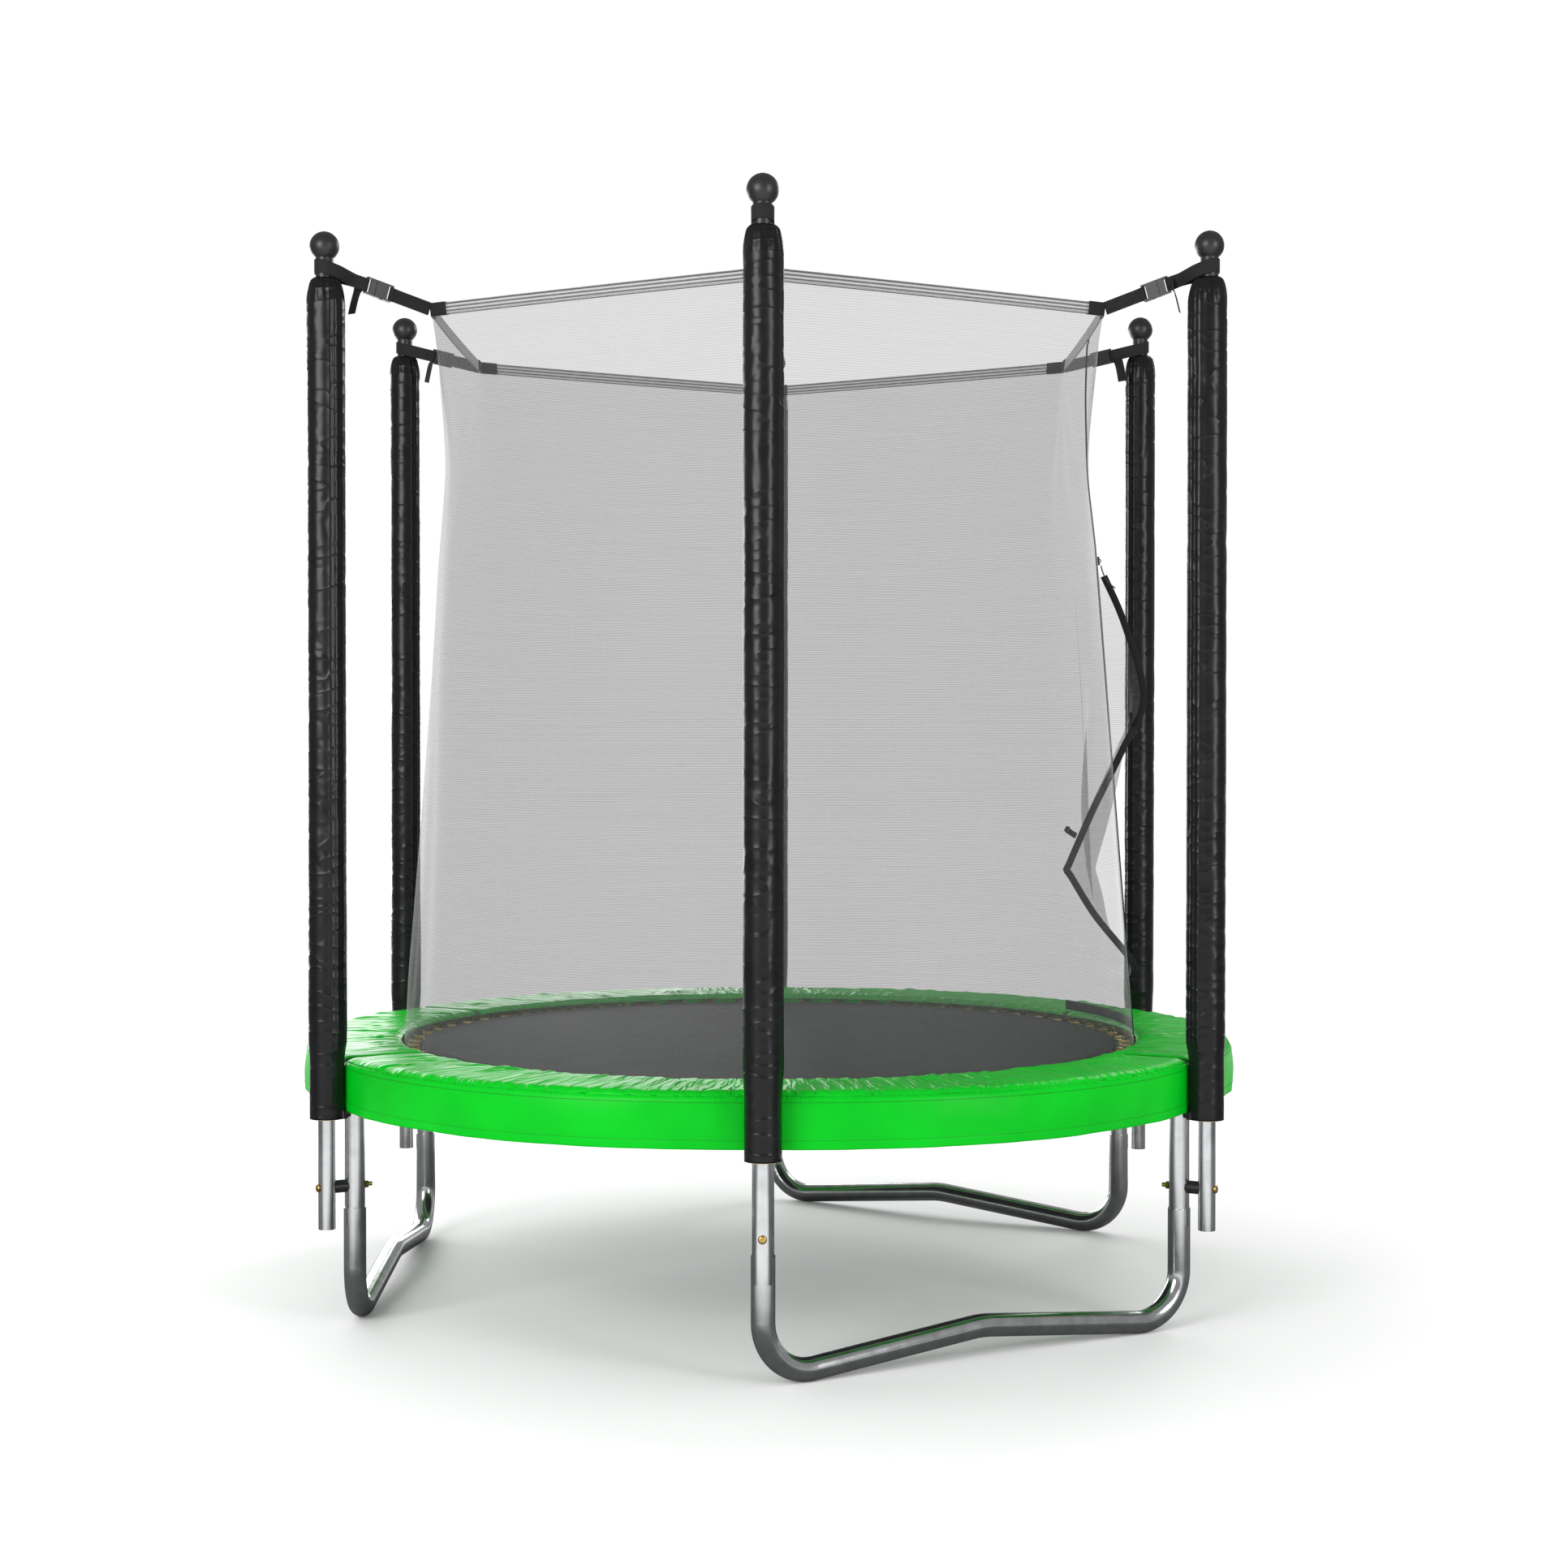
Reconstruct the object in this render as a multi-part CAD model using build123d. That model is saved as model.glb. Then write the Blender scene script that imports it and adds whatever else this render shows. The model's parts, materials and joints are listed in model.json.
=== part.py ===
from build123d import *
import os
from math import asin, atan2, copysign, cos, degrees, hypot, radians, sin, sqrt, tan

# Round garden trampoline with a safety net inside its six padded poles.
# Millimetres, +Z up, origin on the ground at the centre, front towards -Y.
# Angles are counted from the front and grow towards +X. Six stations, one every
# 60 degrees, each carry a leg tube and a net pole; the first is at the front.

# ---------------------------------------------------------------- driving sizes
station_count = 6
frame_radius = 896.0            # circle through the top rail and the leg tubes
rail_top_height = 488.0
tube_wall = 1.5
spigot_clearance = 0.3          # between a reduced tube end and the bore it enters
spigot_length = 50.0
overrun = 1.0                   # how far a cutter or a joined end runs past a face

rail_dia = 38.0
rail_joint_angle = 8.0          # from a station back to the joint before it
rail_spigot_length = 33.0
springs_per_rail = 11
hook_hole_dia = 5.0

leg_dia = 38.0
leg_socket_length = 95.0
upright_end_height = 226.0
coping_depth = 10.0             # how far a socket's top stops below the rail's centre

foot_clearance = 0.5            # between a leg tube and the bore of its foot
foot_bend_radius = 90.0
crossbar_rise = 35.0
crossbar_kink_radius = 200.0
crossbar_joint_run = 155.0      # from a leg to the joint on the crossbar

pole_gap = 20.0                 # between a leg tube and its net pole
pole_dia = 32.0
pole_foot_height = 189.0
pole_joint_height = 1080.0
pole_top_height = 1965.0

lower_bolt_rise = 78.0          # above the pole's foot
upper_bolt_drop = 64.0          # below the rail's centre line
bolt_dia = 8.0
bolt_hole_clearance = 0.3
bolt_head_dia = 15.5
bolt_head_height = 4.5
bolt_head_round = 3.6
thread_stub = 8.0
nut_width = 13.0
nut_height = 6.5
nut_clearance = 0.1
spacer_dia = 24.0
saddle_clearance = 0.1

screw_dia = 4.2
screw_hole_clearance = 0.1
screw_length = 9.0
screw_head_width = 8.0
screw_head_height = 3.0

skirt_room = 4.0                # between a leg and its pole's sleeve, where the skirt hangs
sleeve_wall = 1.8
sleeve_overhang = 13.0          # how far a sleeve hangs below the skirt
sleeve_gather = 30.0            # height of its gathered end, up to the pole's top
sleeve_neck_gap = 2.2
foam_clearance = 0.4
foam_end_gap = 16.0             # from the foam's top to the sleeve's shoulder
notch_clearance = 2.0

cap_neck_dia = 33.0
cap_neck_height = 35.0
cap_ball_dia = 55.0
cap_ball_overlap = 3.0
cap_plug_length = 40.0

spring_zone = 188.0             # from the rail's centre line to the mat's edge
mat_rise = 6.0                  # mat's top above the rail's top
mat_thickness = 3.0
tab_width = 16.0
tab_reach = 8.0
tab_height = 7.0
tab_tongue = 14.0
ring_gap = 0.5                  # from a ring up to the mat's middle layer
ring_wire = 4.0
ring_base_width = 28.0
ring_tip_width = 12.0
ring_length = 24.0
ring_corner_radius = 4.0
ring_bore_clearance = 0.3

spring_dia = 20.0
spring_wire = 3.0
coil_ring_gap = 16.0            # from a ring's tip to the coil
coil_rail_gap = 17.0            # from the coil to the rail
hook_gap = 0.6
hook_drop = 9.0
rail_hook_drop = 13.5
hook_bend_radius = 3.0
hook_kink_radius = 1.5

pad_setback = 38.0              # from the mat's edge to the pad's inner edge
pad_gap = 1.0                   # between the coils and the pad
pad_thickness = 10.5
pad_edge_round = 6.0
pad_edge_lip = 1.0
pad_crown_height = 3.5          # rolled part of the pad's edge
pad_roll_radius = 12.0
pad_shoulder_roll = 3.0
skirt_wall = 1.6
skirt_gap = 1.4                 # between the skirt and a sleeve
skirt_drop = 87.5               # below the pad's underside
skirt_belly = 23.4              # outward bow of the skirt midway between two stations
skirt_belly_drop = 42.5
seam_gap = 0.8
# Shares of the belly that the cloth reaches at each level
pad_foot_share = 0.8
pad_shoulder_share = 0.6
pad_top_share = 0.2
skirt_hem_share = 0.85

net_wall = 2.0
hem_height = 22.0
hem_wall = 3.0
net_foot_rise = 4.0             # above the mat
lower_band_height = 122.0       # band of net that follows the mat
net_foot_insets = (5.0, 2.5)
# Drop below the net's top, then how far inside the pad's opening the net hangs
# at a corner and at the middle of a side
net_profile = [
    (0.0, 6.0, 102.0),
    (136.0, 24.0, 106.0),
    (296.0, 46.0, 101.0),
    (486.0, 39.0, 78.0),
    (736.0, 29.0, 58.0),
    (976.0, 24.0, 41.0),
    (1196.0, 14.0, 24.0),
]

zip_angle = 84.0
zip_tape_width = 20.0
zip_tape_wall = 1.6
zip_teeth_width = 6.0
zip_teeth_wall = 3.6
zip_foot_rise = 12.0            # above the net's foot
zip_straight_rise = 50.0        # above the door's top, where the zip starts to follow the net
door_side_angle = 90.0          # middle of the side that holds the door
door_hinge_angle = 108.0
door_top_height = 1450.0
door_fold_share = 0.35
# Free edge of the open door, from the bottom up: share of the door's height, how far
# inside the pad's opening along X, and Y
door_edge = [
    (0.0361, 11.0, -35.0),
    (0.1446, 78.0, 25.0),
    (0.2590, 133.0, 55.0),
    (0.4096, 81.0, 72.0),
    (0.5663, 18.0, 70.0),
    (0.6928, -22.0, 50.0),
    (0.8675, 24.0, -5.0),
]
binding_width = 14.0
binding_wall = 3.4
binding_gap = 0.2
door_tab_width = 12.0
door_tab_wall = 3.0
door_tab_length = 30.0
door_tab_gap = 0.1
door_tab_shares = (0.6205, 0.3434)

slider_rise = 18.0              # above the door's top
slider_width = 13.0
slider_wall = 4.0
slider_length = 17.0
slider_round = 3.2
slider_gap = 0.5
slider_eye_dia = 7.0
slider_eye_wall = 1.5
pull_dia = 2.6
pull_bend_share = 0.45
# Pull cord in the slider's radial plane: distance out from the zip, and drop
pull_route = [(9.0, 9.0), (12.0, 21.0), (17.5, 34.0), (26.0, 46.0), (38.0, 55.0)]

strap_rise = 17.0               # middle of the strap's loop above the pole's top
strap_drop = 57.0               # from the loop down to the middle of the hem
strap_wall = 1.6
strap_width = 25.0
strap_loop_gap = 1.5            # between the loop and the cap's neck
strap_loop_straight = 24.0
strap_loop_reach = 66.0
strap_loop_join = 8.0
tail_gap = 2.0
tail_length = 58.0
tail_lean = 13.0
buckle_start = 83.0
buckle_width = 32.0
buckle_wall = 8.0
buckle_bar = 3.5
buckle_bar_wall = 3.2
buckle_slot = 5.5
buckle_body = 11.0
buckle_gap = 0.8
prong_length = 18.0
prong_wall = 5.0
prong_width = 4.0
socket_length = 33.0
socket_thickness = 9.0
socket_wall = 2.2
socket_depth = 21.0
socket_window = 7.0
webbing_gap = 0.5
wrap_reach = 4.0
corner_wing = 32.0
corner_tab_height = 24.0
corner_tab_gap = 0.8

# ------------------------------------------------------------- derived places
station_step = 360 / station_count
spring_pitch = station_step / springs_per_rail
rail_height = rail_top_height - rail_dia / 2
rail_bottom = rail_height - coping_depth
socket_end_height = rail_bottom - leg_socket_length
foot_dia = leg_dia + 2 * (tube_wall + foot_clearance)
foot_centre_height = foot_dia / 2
half_span = frame_radius * sin(radians(station_step / 2))
leg_plane_y = -frame_radius * cos(radians(station_step / 2))
leg_back = frame_radius - leg_dia / 2
pole_radius = frame_radius + leg_dia / 2 + pole_gap + pole_dia / 2
pole_back = pole_radius + pole_dia / 2
bolt_heights = (pole_foot_height + lower_bolt_rise, rail_height - upper_bolt_drop)
hook_radius = frame_radius - rail_dia / 2 * sin(radians(45))

spring_height = rail_top_height - spring_wire / 2
pad_bottom = spring_height + spring_dia / 2 + pad_gap
pad_top_height = pad_bottom + pad_thickness
skirt_bottom_height = pad_bottom - skirt_drop
skirt_belly_height = pad_bottom - skirt_belly_drop

sleeve_dia = pole_dia + 2 * (pole_gap - skirt_room)
sleeve_neck_dia = pole_dia + 2 * (sleeve_neck_gap + sleeve_wall)
sleeve_bottom_height = skirt_bottom_height - sleeve_overhang
sleeve_shoulder_height = pole_top_height - sleeve_gather
cap_ball_height = pole_top_height + cap_neck_height + cap_ball_dia / 2 - cap_ball_overlap
skirt_seam_radius = pole_radius - sleeve_dia / 2 - skirt_gap
skirt_belly_radius = skirt_seam_radius + skirt_belly

mat_radius = frame_radius - spring_zone
mat_top_height = rail_top_height + mat_rise
pad_inner_radius = mat_radius + pad_setback
ring_height = mat_top_height - mat_thickness / 2 - ring_wire / 2 - ring_gap
ring_tip = mat_radius + ring_length + ring_wire
spring_coil_start = ring_tip + coil_ring_gap
spring_coil_end = frame_radius - rail_dia / 2 - coil_rail_gap

strap_height = pole_top_height + strap_rise
net_top_height = strap_height - strap_drop + hem_height / 2
hem_bottom = net_top_height - hem_height
net_bottom_height = mat_top_height + net_foot_rise
net_panel_bottom = net_bottom_height + lower_band_height
zip_bottom_height = net_bottom_height + zip_foot_rise
zip_straight_top = door_top_height + zip_straight_rise
slider_height = door_top_height + slider_rise
strap_loop_radius = cap_neck_dia / 2 + strap_loop_gap


def polar(angle, radius, height):
    """Point at an angle from the front, a distance out and a height."""
    return Vector(radius * sin(radians(angle)), -radius * cos(radians(angle)), height)


def turned(angle, shape):
    """Shape modelled at the front, carried round the vertical axis."""
    return Rot(0, 0, angle) * shape


def at_stations(shape):
    """One copy of a front shape at each station."""
    return [turned(i * station_step, shape) for i in range(station_count)]


def save(name, *shapes):
    """Write one node; several separate solids make a group."""
    solids = [solid for shape in shapes for solid in shape.solids()]
    export_step(Compound(solids), f"parts/{name}.step")


def pipe(dia, bottom, top):
    """Upright pipe on its own axis, between two heights."""
    align = (Align.CENTER, Align.CENTER, Align.MIN)
    bore = Cylinder(dia / 2 - tube_wall, top - bottom, align=align)
    return Pos(0, 0, bottom) * (Cylinder(dia / 2, top - bottom, align=align) - bore)


def radial_rod(dia, inner, outer, height):
    """Round bar along a radius of the front station."""
    return Pos(0, -(inner + outer) / 2, height) * Rot(90, 0, 0) * Cylinder(dia / 2, outer - inner)


def swept_pipe(path, dia):
    """Pipe of constant section along a path."""
    section = Circle(dia / 2) - Circle(dia / 2 - tube_wall)
    return sweep(Plane(path @ 0, z_dir=path % 0) * section, path)


def spigot(point, direction, dia, length=spigot_length):
    """Reduced tube end that slips into a bore of the same tube, with its step."""
    outer = dia / 2 - tube_wall - spigot_clearance
    bore = Circle(outer - tube_wall)
    base = Pos(0, 0, -tube_wall)
    step = base * extrude(Circle(dia / 2) - bore, tube_wall)
    nose = base * extrude(Circle(outer) - bore, length + tube_wall)
    return Plane(point, z_dir=direction).location * (step + nose)


def bolt_holes():
    """Cutters for the bolts that tie a pole to its leg."""
    hole_dia = bolt_dia + 2 * bolt_hole_clearance
    return [radial_rod(hole_dia, leg_back - thread_stub, pole_back + thread_stub, h) for h in bolt_heights]


# -------------------------------------------------------------------- top rail
def rail_ring(dia, start, extent):
    """Solid stretch of the rail's torus from a start angle."""
    section = Plane.XZ * Pos(frame_radius, rail_height) * Circle(dia / 2)
    return turned(start - 90, revolve(section, Axis.Z, extent))


def top_rail():
    """Sixth of the top rail with its welded leg socket at the front station."""
    start = -rail_joint_angle
    step_angle = degrees(tube_wall / frame_radius)
    spigot_angle = degrees(rail_spigot_length / frame_radius)
    nose_dia = rail_dia - 2 * (tube_wall + spigot_clearance)
    socket_bore = leg_dia - 2 * tube_wall
    end = start + station_step
    socket = Pos(0, -frame_radius, socket_end_height)
    align = (Align.CENTER, Align.CENTER, Align.MIN)
    rail = rail_ring(rail_dia, start, station_step)
    rail += socket * Cylinder(leg_dia / 2, leg_socket_length, align=align)
    rail -= rail_ring(rail_dia - 2 * tube_wall, start, station_step - step_angle)
    rail -= socket * Cylinder(socket_bore / 2, leg_socket_length - coping_depth, align=align)
    rail += rail_ring(nose_dia, end - step_angle, step_angle + spigot_angle)
    rail -= rail_ring(nose_dia - 2 * tube_wall, end - 2 * step_angle, 3 * step_angle + spigot_angle)
    for i in range(springs_per_rail):
        hole = Pos(0, -hook_radius, rail_top_height) * Cylinder(hook_hole_dia / 2, rail_dia)
        rail -= turned(start + (i + 0.5) * spring_pitch, hole)
    for joint in (start, end):
        rail -= turned(joint + spigot_angle / 2, rail_screw_at_front(screw_dia + 2 * screw_hole_clearance))
    for hole in bolt_holes():
        rail -= hole
    return rail


def rail_screw_at_front(dia):
    """Shank of the screw that locks a rail joint, from below."""
    top = rail_height - rail_dia / 2 + screw_length - screw_head_height
    bottom = rail_height - rail_dia / 2 - screw_head_height
    return Pos(0, -frame_radius, (top + bottom) / 2) * Cylinder(dia / 2, top - bottom)


def rail_screw():
    """Hexagon-headed screw of the rail joint before the front station."""
    head_top = rail_height - rail_dia / 2 - spigot_clearance
    head = extrude(RegularPolygon(screw_head_width / 2, 6), screw_head_height)
    head = Pos(0, -frame_radius, head_top - screw_head_height) * head
    spigot_angle = degrees(rail_spigot_length / frame_radius)
    return turned(spigot_angle / 2 - rail_joint_angle, rail_screw_at_front(screw_dia) + head)


# ------------------------------------------------------------------------ legs
def leg_slope():
    """Angle of the crossbar's rising halves, tangent to the foot bend."""
    run = half_span - foot_bend_radius
    fall = crossbar_rise - foot_bend_radius
    return atan2(fall, run) + asin(foot_bend_radius / hypot(run, fall))


def crossbar_point(run):
    """Point on the crossbar's centre line, a run in from the right-hand leg."""
    height = foot_centre_height + crossbar_rise - (half_span - run) * tan(leg_slope())
    return Vector(half_span - run, leg_plane_y, height)


def foot_corner(side):
    """Bent tube under a leg, with the spigot for the crossbar; side is 1 or -1."""
    joint = crossbar_point(crossbar_joint_run)
    corner = crossbar_point(0)
    top = Vector(half_span, leg_plane_y, upright_end_height)
    path = FilletPolyline(top, corner, joint, radius=foot_bend_radius)
    tube = swept_pipe(path, foot_dia) + spigot(joint, joint - corner, foot_dia)
    return tube if side > 0 else mirror(tube, Plane.YZ)


def crossbar():
    """Ground tube between two foot corners, raised in its middle."""
    joint = crossbar_point(crossbar_joint_run)
    middle = crossbar_point(half_span)
    far = Vector(-joint.X, joint.Y, joint.Z)
    path = FilletPolyline(joint, middle, far, radius=crossbar_kink_radius)
    return swept_pipe(path, foot_dia)


def upright():
    """Leg tube between its foot corner and the socket in the rail."""
    at = Pos(0, -frame_radius, 0)
    tube = at * pipe(leg_dia, upright_end_height - spigot_length, socket_end_height)
    tube += spigot((0, -frame_radius, socket_end_height), (0, 0, 1), leg_dia)
    for hole in bolt_holes():
        tube -= hole
    return tube


# ----------------------------------------------------------------------- poles
def pole_lower():
    """Lower pole tube, bolted to the leg, with the spigot for the upper tube."""
    tube = Pos(0, -pole_radius, 0) * pipe(pole_dia, pole_foot_height, pole_joint_height)
    tube += spigot((0, -pole_radius, pole_joint_height), (0, 0, 1), pole_dia)
    for hole in bolt_holes():
        tube -= hole
    return tube


def pole_upper():
    """Upper pole tube, on the spigot of the lower one."""
    return Pos(0, -pole_radius, 0) * pipe(pole_dia, pole_joint_height, pole_top_height)


def pole_cap():
    """Moulded ball cap with a neck for the strap and a plug in the tube."""
    align = (Align.CENTER, Align.CENTER, Align.MIN)
    plug_dia = pole_dia - 2 * (tube_wall + spigot_clearance)
    neck = Cylinder(cap_neck_dia / 2, cap_neck_height + cap_ball_overlap, align=align)
    plug = Cylinder(plug_dia / 2, cap_plug_length, align=align)
    cap = Pos(0, 0, pole_top_height) * neck + Pos(0, 0, cap_ball_height) * Sphere(cap_ball_dia / 2)
    cap += Pos(0, 0, pole_top_height - cap_plug_length) * plug
    return Pos(0, -pole_radius, 0) * cap


def spacers():
    """Saddle blocks between a pole and its leg."""
    blocks = []
    for height in bolt_heights:
        block = radial_rod(spacer_dia, frame_radius, pole_radius, height)
        for radius, dia in ((frame_radius, leg_dia), (pole_radius, pole_dia)):
            tube = Cylinder(dia / 2 + saddle_clearance, 2 * spacer_dia)
            block -= Pos(0, -radius, height) * tube
        block -= radial_rod(bolt_dia + 2 * bolt_hole_clearance, frame_radius, pole_radius, height)
        blocks.append(block.solids().sort_by(Axis.Y)[0])
    return Compound(blocks)


def bolts():
    """Domed bolts through the poles, spacers and legs."""
    bodies = []
    for height in bolt_heights:
        end = leg_back - nut_height - thread_stub
        shank = radial_rod(bolt_dia, end, pole_back + overrun, height)
        head = radial_rod(bolt_head_dia, pole_back, pole_back + bolt_head_height, height)
        rim = head.edges().filter_by(GeomType.CIRCLE).sort_by(Axis.Y)[0]
        bodies.append(shank + fillet(rim, bolt_head_round))
    return Compound(bodies)


def nuts():
    """Nuts on the inner ends of the bolts."""
    hole = Circle(bolt_dia / 2 + nut_clearance)
    blank = extrude(RegularPolygon(nut_width / 2, 6, major_radius=False) - hole, nut_height)
    return Compound([Pos(0, -leg_back, h) * Rot(-90, 0, 0) * blank for h in bolt_heights])


def spacer_notch(radius, bottom):
    """Cutter that lets the upper spacer pass through a cloth skirt or cover, down to its lower edge."""
    width = spacer_dia + 2 * notch_clearance
    align = (Align.CENTER, Align.CENTER, Align.MAX)
    top = bolt_heights[1] + width / 2
    return Pos(0, -radius, top) * Box(width, width / 2, top - bottom + overrun, align=align)


def sleeve():
    """Cover of the pole padding, gathered onto the neck of the cap."""
    outer = sleeve_dia / 2
    neck = sleeve_neck_dia / 2
    inner = outer - sleeve_wall
    inner_neck = neck - sleeve_wall
    shoulder = sleeve_shoulder_height
    profile = Polyline(
        (inner, sleeve_bottom_height), (outer, sleeve_bottom_height), (outer, shoulder - outer / 2),
        (outer - sleeve_wall, shoulder), (neck, pole_top_height), (inner_neck, pole_top_height),
        (inner - sleeve_wall, shoulder - sleeve_wall), (inner, shoulder - outer / 2), close=True,
    )
    shell = revolve(Plane.XZ * make_face(profile), Axis.Z)
    return Pos(0, -pole_radius, 0) * shell - spacer_notch(pole_radius - outer, sleeve_bottom_height)


def foam():
    """Foam tube inside the cover."""
    bottom = bolt_heights[1] + spacer_dia / 2 + notch_clearance
    top = sleeve_shoulder_height - foam_end_gap
    outer = sleeve_dia / 2 - sleeve_wall - foam_clearance
    ring = Circle(outer) - Circle(pole_dia / 2 + foam_clearance)
    return Pos(0, -pole_radius, bottom) * extrude(ring, top - bottom)


# ------------------------------------------------------------------- jumping mat
def mat():
    """Flat round jumping mat."""
    align = (Align.CENTER, Align.CENTER, Align.MAX)
    return Pos(0, 0, mat_top_height) * Cylinder(mat_radius, mat_thickness, align=align)


def mat_tab():
    """Webbing tab under the mat's edge that holds one ring, at the front."""
    under = mat_top_height - mat_thickness
    block = Box(tab_width, tab_reach, tab_height, align=(Align.CENTER, Align.MAX, Align.CENTER))
    block = Pos(0, -mat_radius, ring_height) * block
    tongue = Box(tab_width, tab_tongue, under - (ring_height - tab_height / 2),
                 align=(Align.CENTER, Align.MIN, Align.MAX))
    tab = block + Pos(0, -mat_radius, under) * tongue
    bore = Rot(0, 90, 0) * Cylinder(ring_wire / 2 + ring_bore_clearance, 2 * tab_width)
    return tab - Pos(0, -mat_radius - ring_wire, ring_height) * bore


def mat_ring():
    """Four-sided wire ring in a tab; a spring hooks over its narrow end."""
    base = mat_radius + ring_wire
    half_base, half_tip = ring_base_width / 2, ring_tip_width / 2
    path = FilletPolyline(
        (-half_base, -base, ring_height), (half_base, -base, ring_height),
        (half_tip, -ring_tip, ring_height), (-half_tip, -ring_tip, ring_height),
        radius=ring_corner_radius, close=True,
    )
    return sweep(Plane(path @ 0, z_dir=path % 0) * Circle(ring_wire / 2), path)


def spring():
    """Extension spring between the rail and a ring, its coil as a closed sleeve."""
    coil = radial_rod(spring_dia, spring_coil_start, spring_coil_end, spring_height)
    bore_dia = spring_dia - 2 * spring_wire
    bore_start, bore_end = spring_coil_start + spring_wire, spring_coil_end - spring_wire
    coil -= radial_rod(bore_dia, bore_start, bore_end, spring_height)
    over_ring = ring_height + (ring_wire + spring_wire) / 2 + hook_gap
    inside_ring = ring_tip - (ring_wire + spring_wire) / 2 - 2 * hook_gap
    over_rail = spring_height + spring_wire / 2
    inner = FilletPolyline(
        (0, -bore_start, spring_height), (0, -spring_coil_start, spring_height),
        (0, -ring_tip - ring_wire, over_ring), (0, -inside_ring, over_ring),
        (0, -inside_ring, over_ring - hook_drop),
        radius=[hook_kink_radius, hook_kink_radius, hook_bend_radius],
    )
    outer = FilletPolyline(
        (0, -bore_end, spring_height), (0, -spring_coil_end, spring_height),
        (0, -hook_radius, over_rail), (0, -hook_radius, over_rail - rail_hook_drop),
        radius=[hook_kink_radius, hook_bend_radius],
    )
    for path in (inner, outer):
        coil += sweep(Plane(path @ 0, z_dir=path % 0) * Circle(spring_wire / 2), path)
    return coil


def round_the_mat(shape):
    """One copy of a front shape at each spring."""
    first = 0.5 * spring_pitch - rail_joint_angle
    return [turned(first + i * spring_pitch, shape) for i in range(station_count * springs_per_rail)]


# ----------------------------------------------------------------- bands of cloth
def band(start, end, outer, inner, height):
    """Face between two arcs, each through its radii at the start, middle and end."""
    angles = (start, (start + end) / 2, end)
    out = [polar(a, r, height) for a, r in zip(angles, outer)]
    inn = [polar(a, r, height) for a, r in zip(angles, inner)]
    edges = [ThreePointArc(*out), Line(out[2], inn[2]), ThreePointArc(*inn[::-1]), Line(inn[0], out[0])]
    return make_face(edges)


def less(radii, step):
    """Radii moved towards the axis by one step."""
    return tuple(r - step for r in radii)


# -------------------------------------------------------------------- spring pad
def pad_outline(share):
    """Outer radii of the pad; share runs from 0 at the stations' reach to 1 at the full belly."""
    middle = skirt_seam_radius + share * (skirt_belly_radius - skirt_seam_radius)
    return (skirt_seam_radius, middle, skirt_seam_radius)


def pad_panel():
    """Foam-filled top panel between the first two stations."""
    slack = degrees(seam_gap / 2 / frame_radius)
    start, end = slack, station_step - slack
    levels = [
        (pad_bottom, pad_foot_share, 0, 0),
        (pad_top_height - pad_crown_height, pad_shoulder_share, pad_shoulder_roll, pad_edge_lip),
        (pad_top_height, pad_top_share, pad_roll_radius, pad_edge_round),
    ]
    faces = []
    for height, share, roll, edge in levels:
        inner = (pad_inner_radius + edge,) * 3
        faces.append(band(start, end, less(pad_outline(share), roll), inner, height))
    return loft(faces)


def pad_skirt():
    """Skirt of the pad between the first two stations, with half a notch at each end."""
    slack = degrees(seam_gap / 2 / frame_radius)
    levels = [(pad_bottom, pad_foot_share), (skirt_belly_height, 1), (skirt_bottom_height, skirt_hem_share)]
    faces = []
    for height, share in levels:
        outer = pad_outline(share)
        faces.append(band(slack, station_step - slack, outer, less(outer, skirt_wall), height))
    skirt = loft(faces)
    for angle in (0, station_step):
        skirt -= turned(angle, spacer_notch(skirt_seam_radius, skirt_bottom_height))
    return skirt


# --------------------------------------------------------------------------- net
def net_levels():
    """Height, corner radius and mid-side radius at each level of the net, from its foot up."""
    levels = [(net_bottom_height, *net_foot_insets)]
    levels += [(net_top_height - drop, corner, side) for drop, corner, side in reversed(net_profile)]
    return [(z, pad_inner_radius - corner, pad_inner_radius - side) for z, corner, side in levels]


def net_radii(height):
    """Corner and mid-side radius of the net at a height."""
    levels = net_levels()
    for (z0, corner0, side0), (z1, corner1, side1) in zip(levels, levels[1:]):
        if height <= z1:
            break
    share = (height - z0) / (z1 - z0)
    return corner0 + share * (corner1 - corner0), side0 + share * (side1 - side0)


def net_radius(offset, height):
    """Radius of the net at an angle off the middle of its side."""
    corner, side = net_radii(height)
    half = corner * sin(radians(station_step / 2))
    rise = side - corner * cos(radians(station_step / 2))
    bow = (half ** 2 + rise ** 2) / (2 * rise)
    centre = side - bow
    turn = radians(offset)
    return centre * cos(turn) + copysign(sqrt(bow ** 2 - (centre * sin(turn)) ** 2), bow)


def net_heights(bottom, top):
    """Section heights between two edges of a net piece."""
    return [bottom] + [z for z, _, _ in net_levels() if bottom < z < top] + [top]


def net_piece(start, end, bottom, top, wall=net_wall, middle=station_step / 2):
    """Net between two angles and two heights, on the side around a middle angle."""
    faces = []
    for height in net_heights(bottom, top):
        outer = [net_radius(a - middle, height) + wall / 2 for a in (start, (start + end) / 2, end)]
        faces.append(band(start, end, outer, less(outer, wall), height))
    return loft(faces, ruled=True)


def net_side(index, bottom, top, wall=net_wall):
    """Whole side of the net after a station."""
    return turned(index * station_step, net_piece(0, station_step, bottom, top, wall))


def net_foot(index):
    """Lower band of the net after a station, cut beside the zip where that passes."""
    if index * station_step + station_step / 2 != door_side_angle:
        return net_side(index, net_bottom_height, net_panel_bottom)
    side = door_side_angle
    spans = [
        (side - station_step / 2, zip_angle - zip_half_angle()),
        (zip_angle + zip_half_angle(), side + station_step / 2),
    ]
    pieces = [net_piece(a, b, net_bottom_height, net_panel_bottom, middle=side) for a, b in spans]
    return Compound([solid for piece in pieces for solid in piece.solids()])


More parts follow.
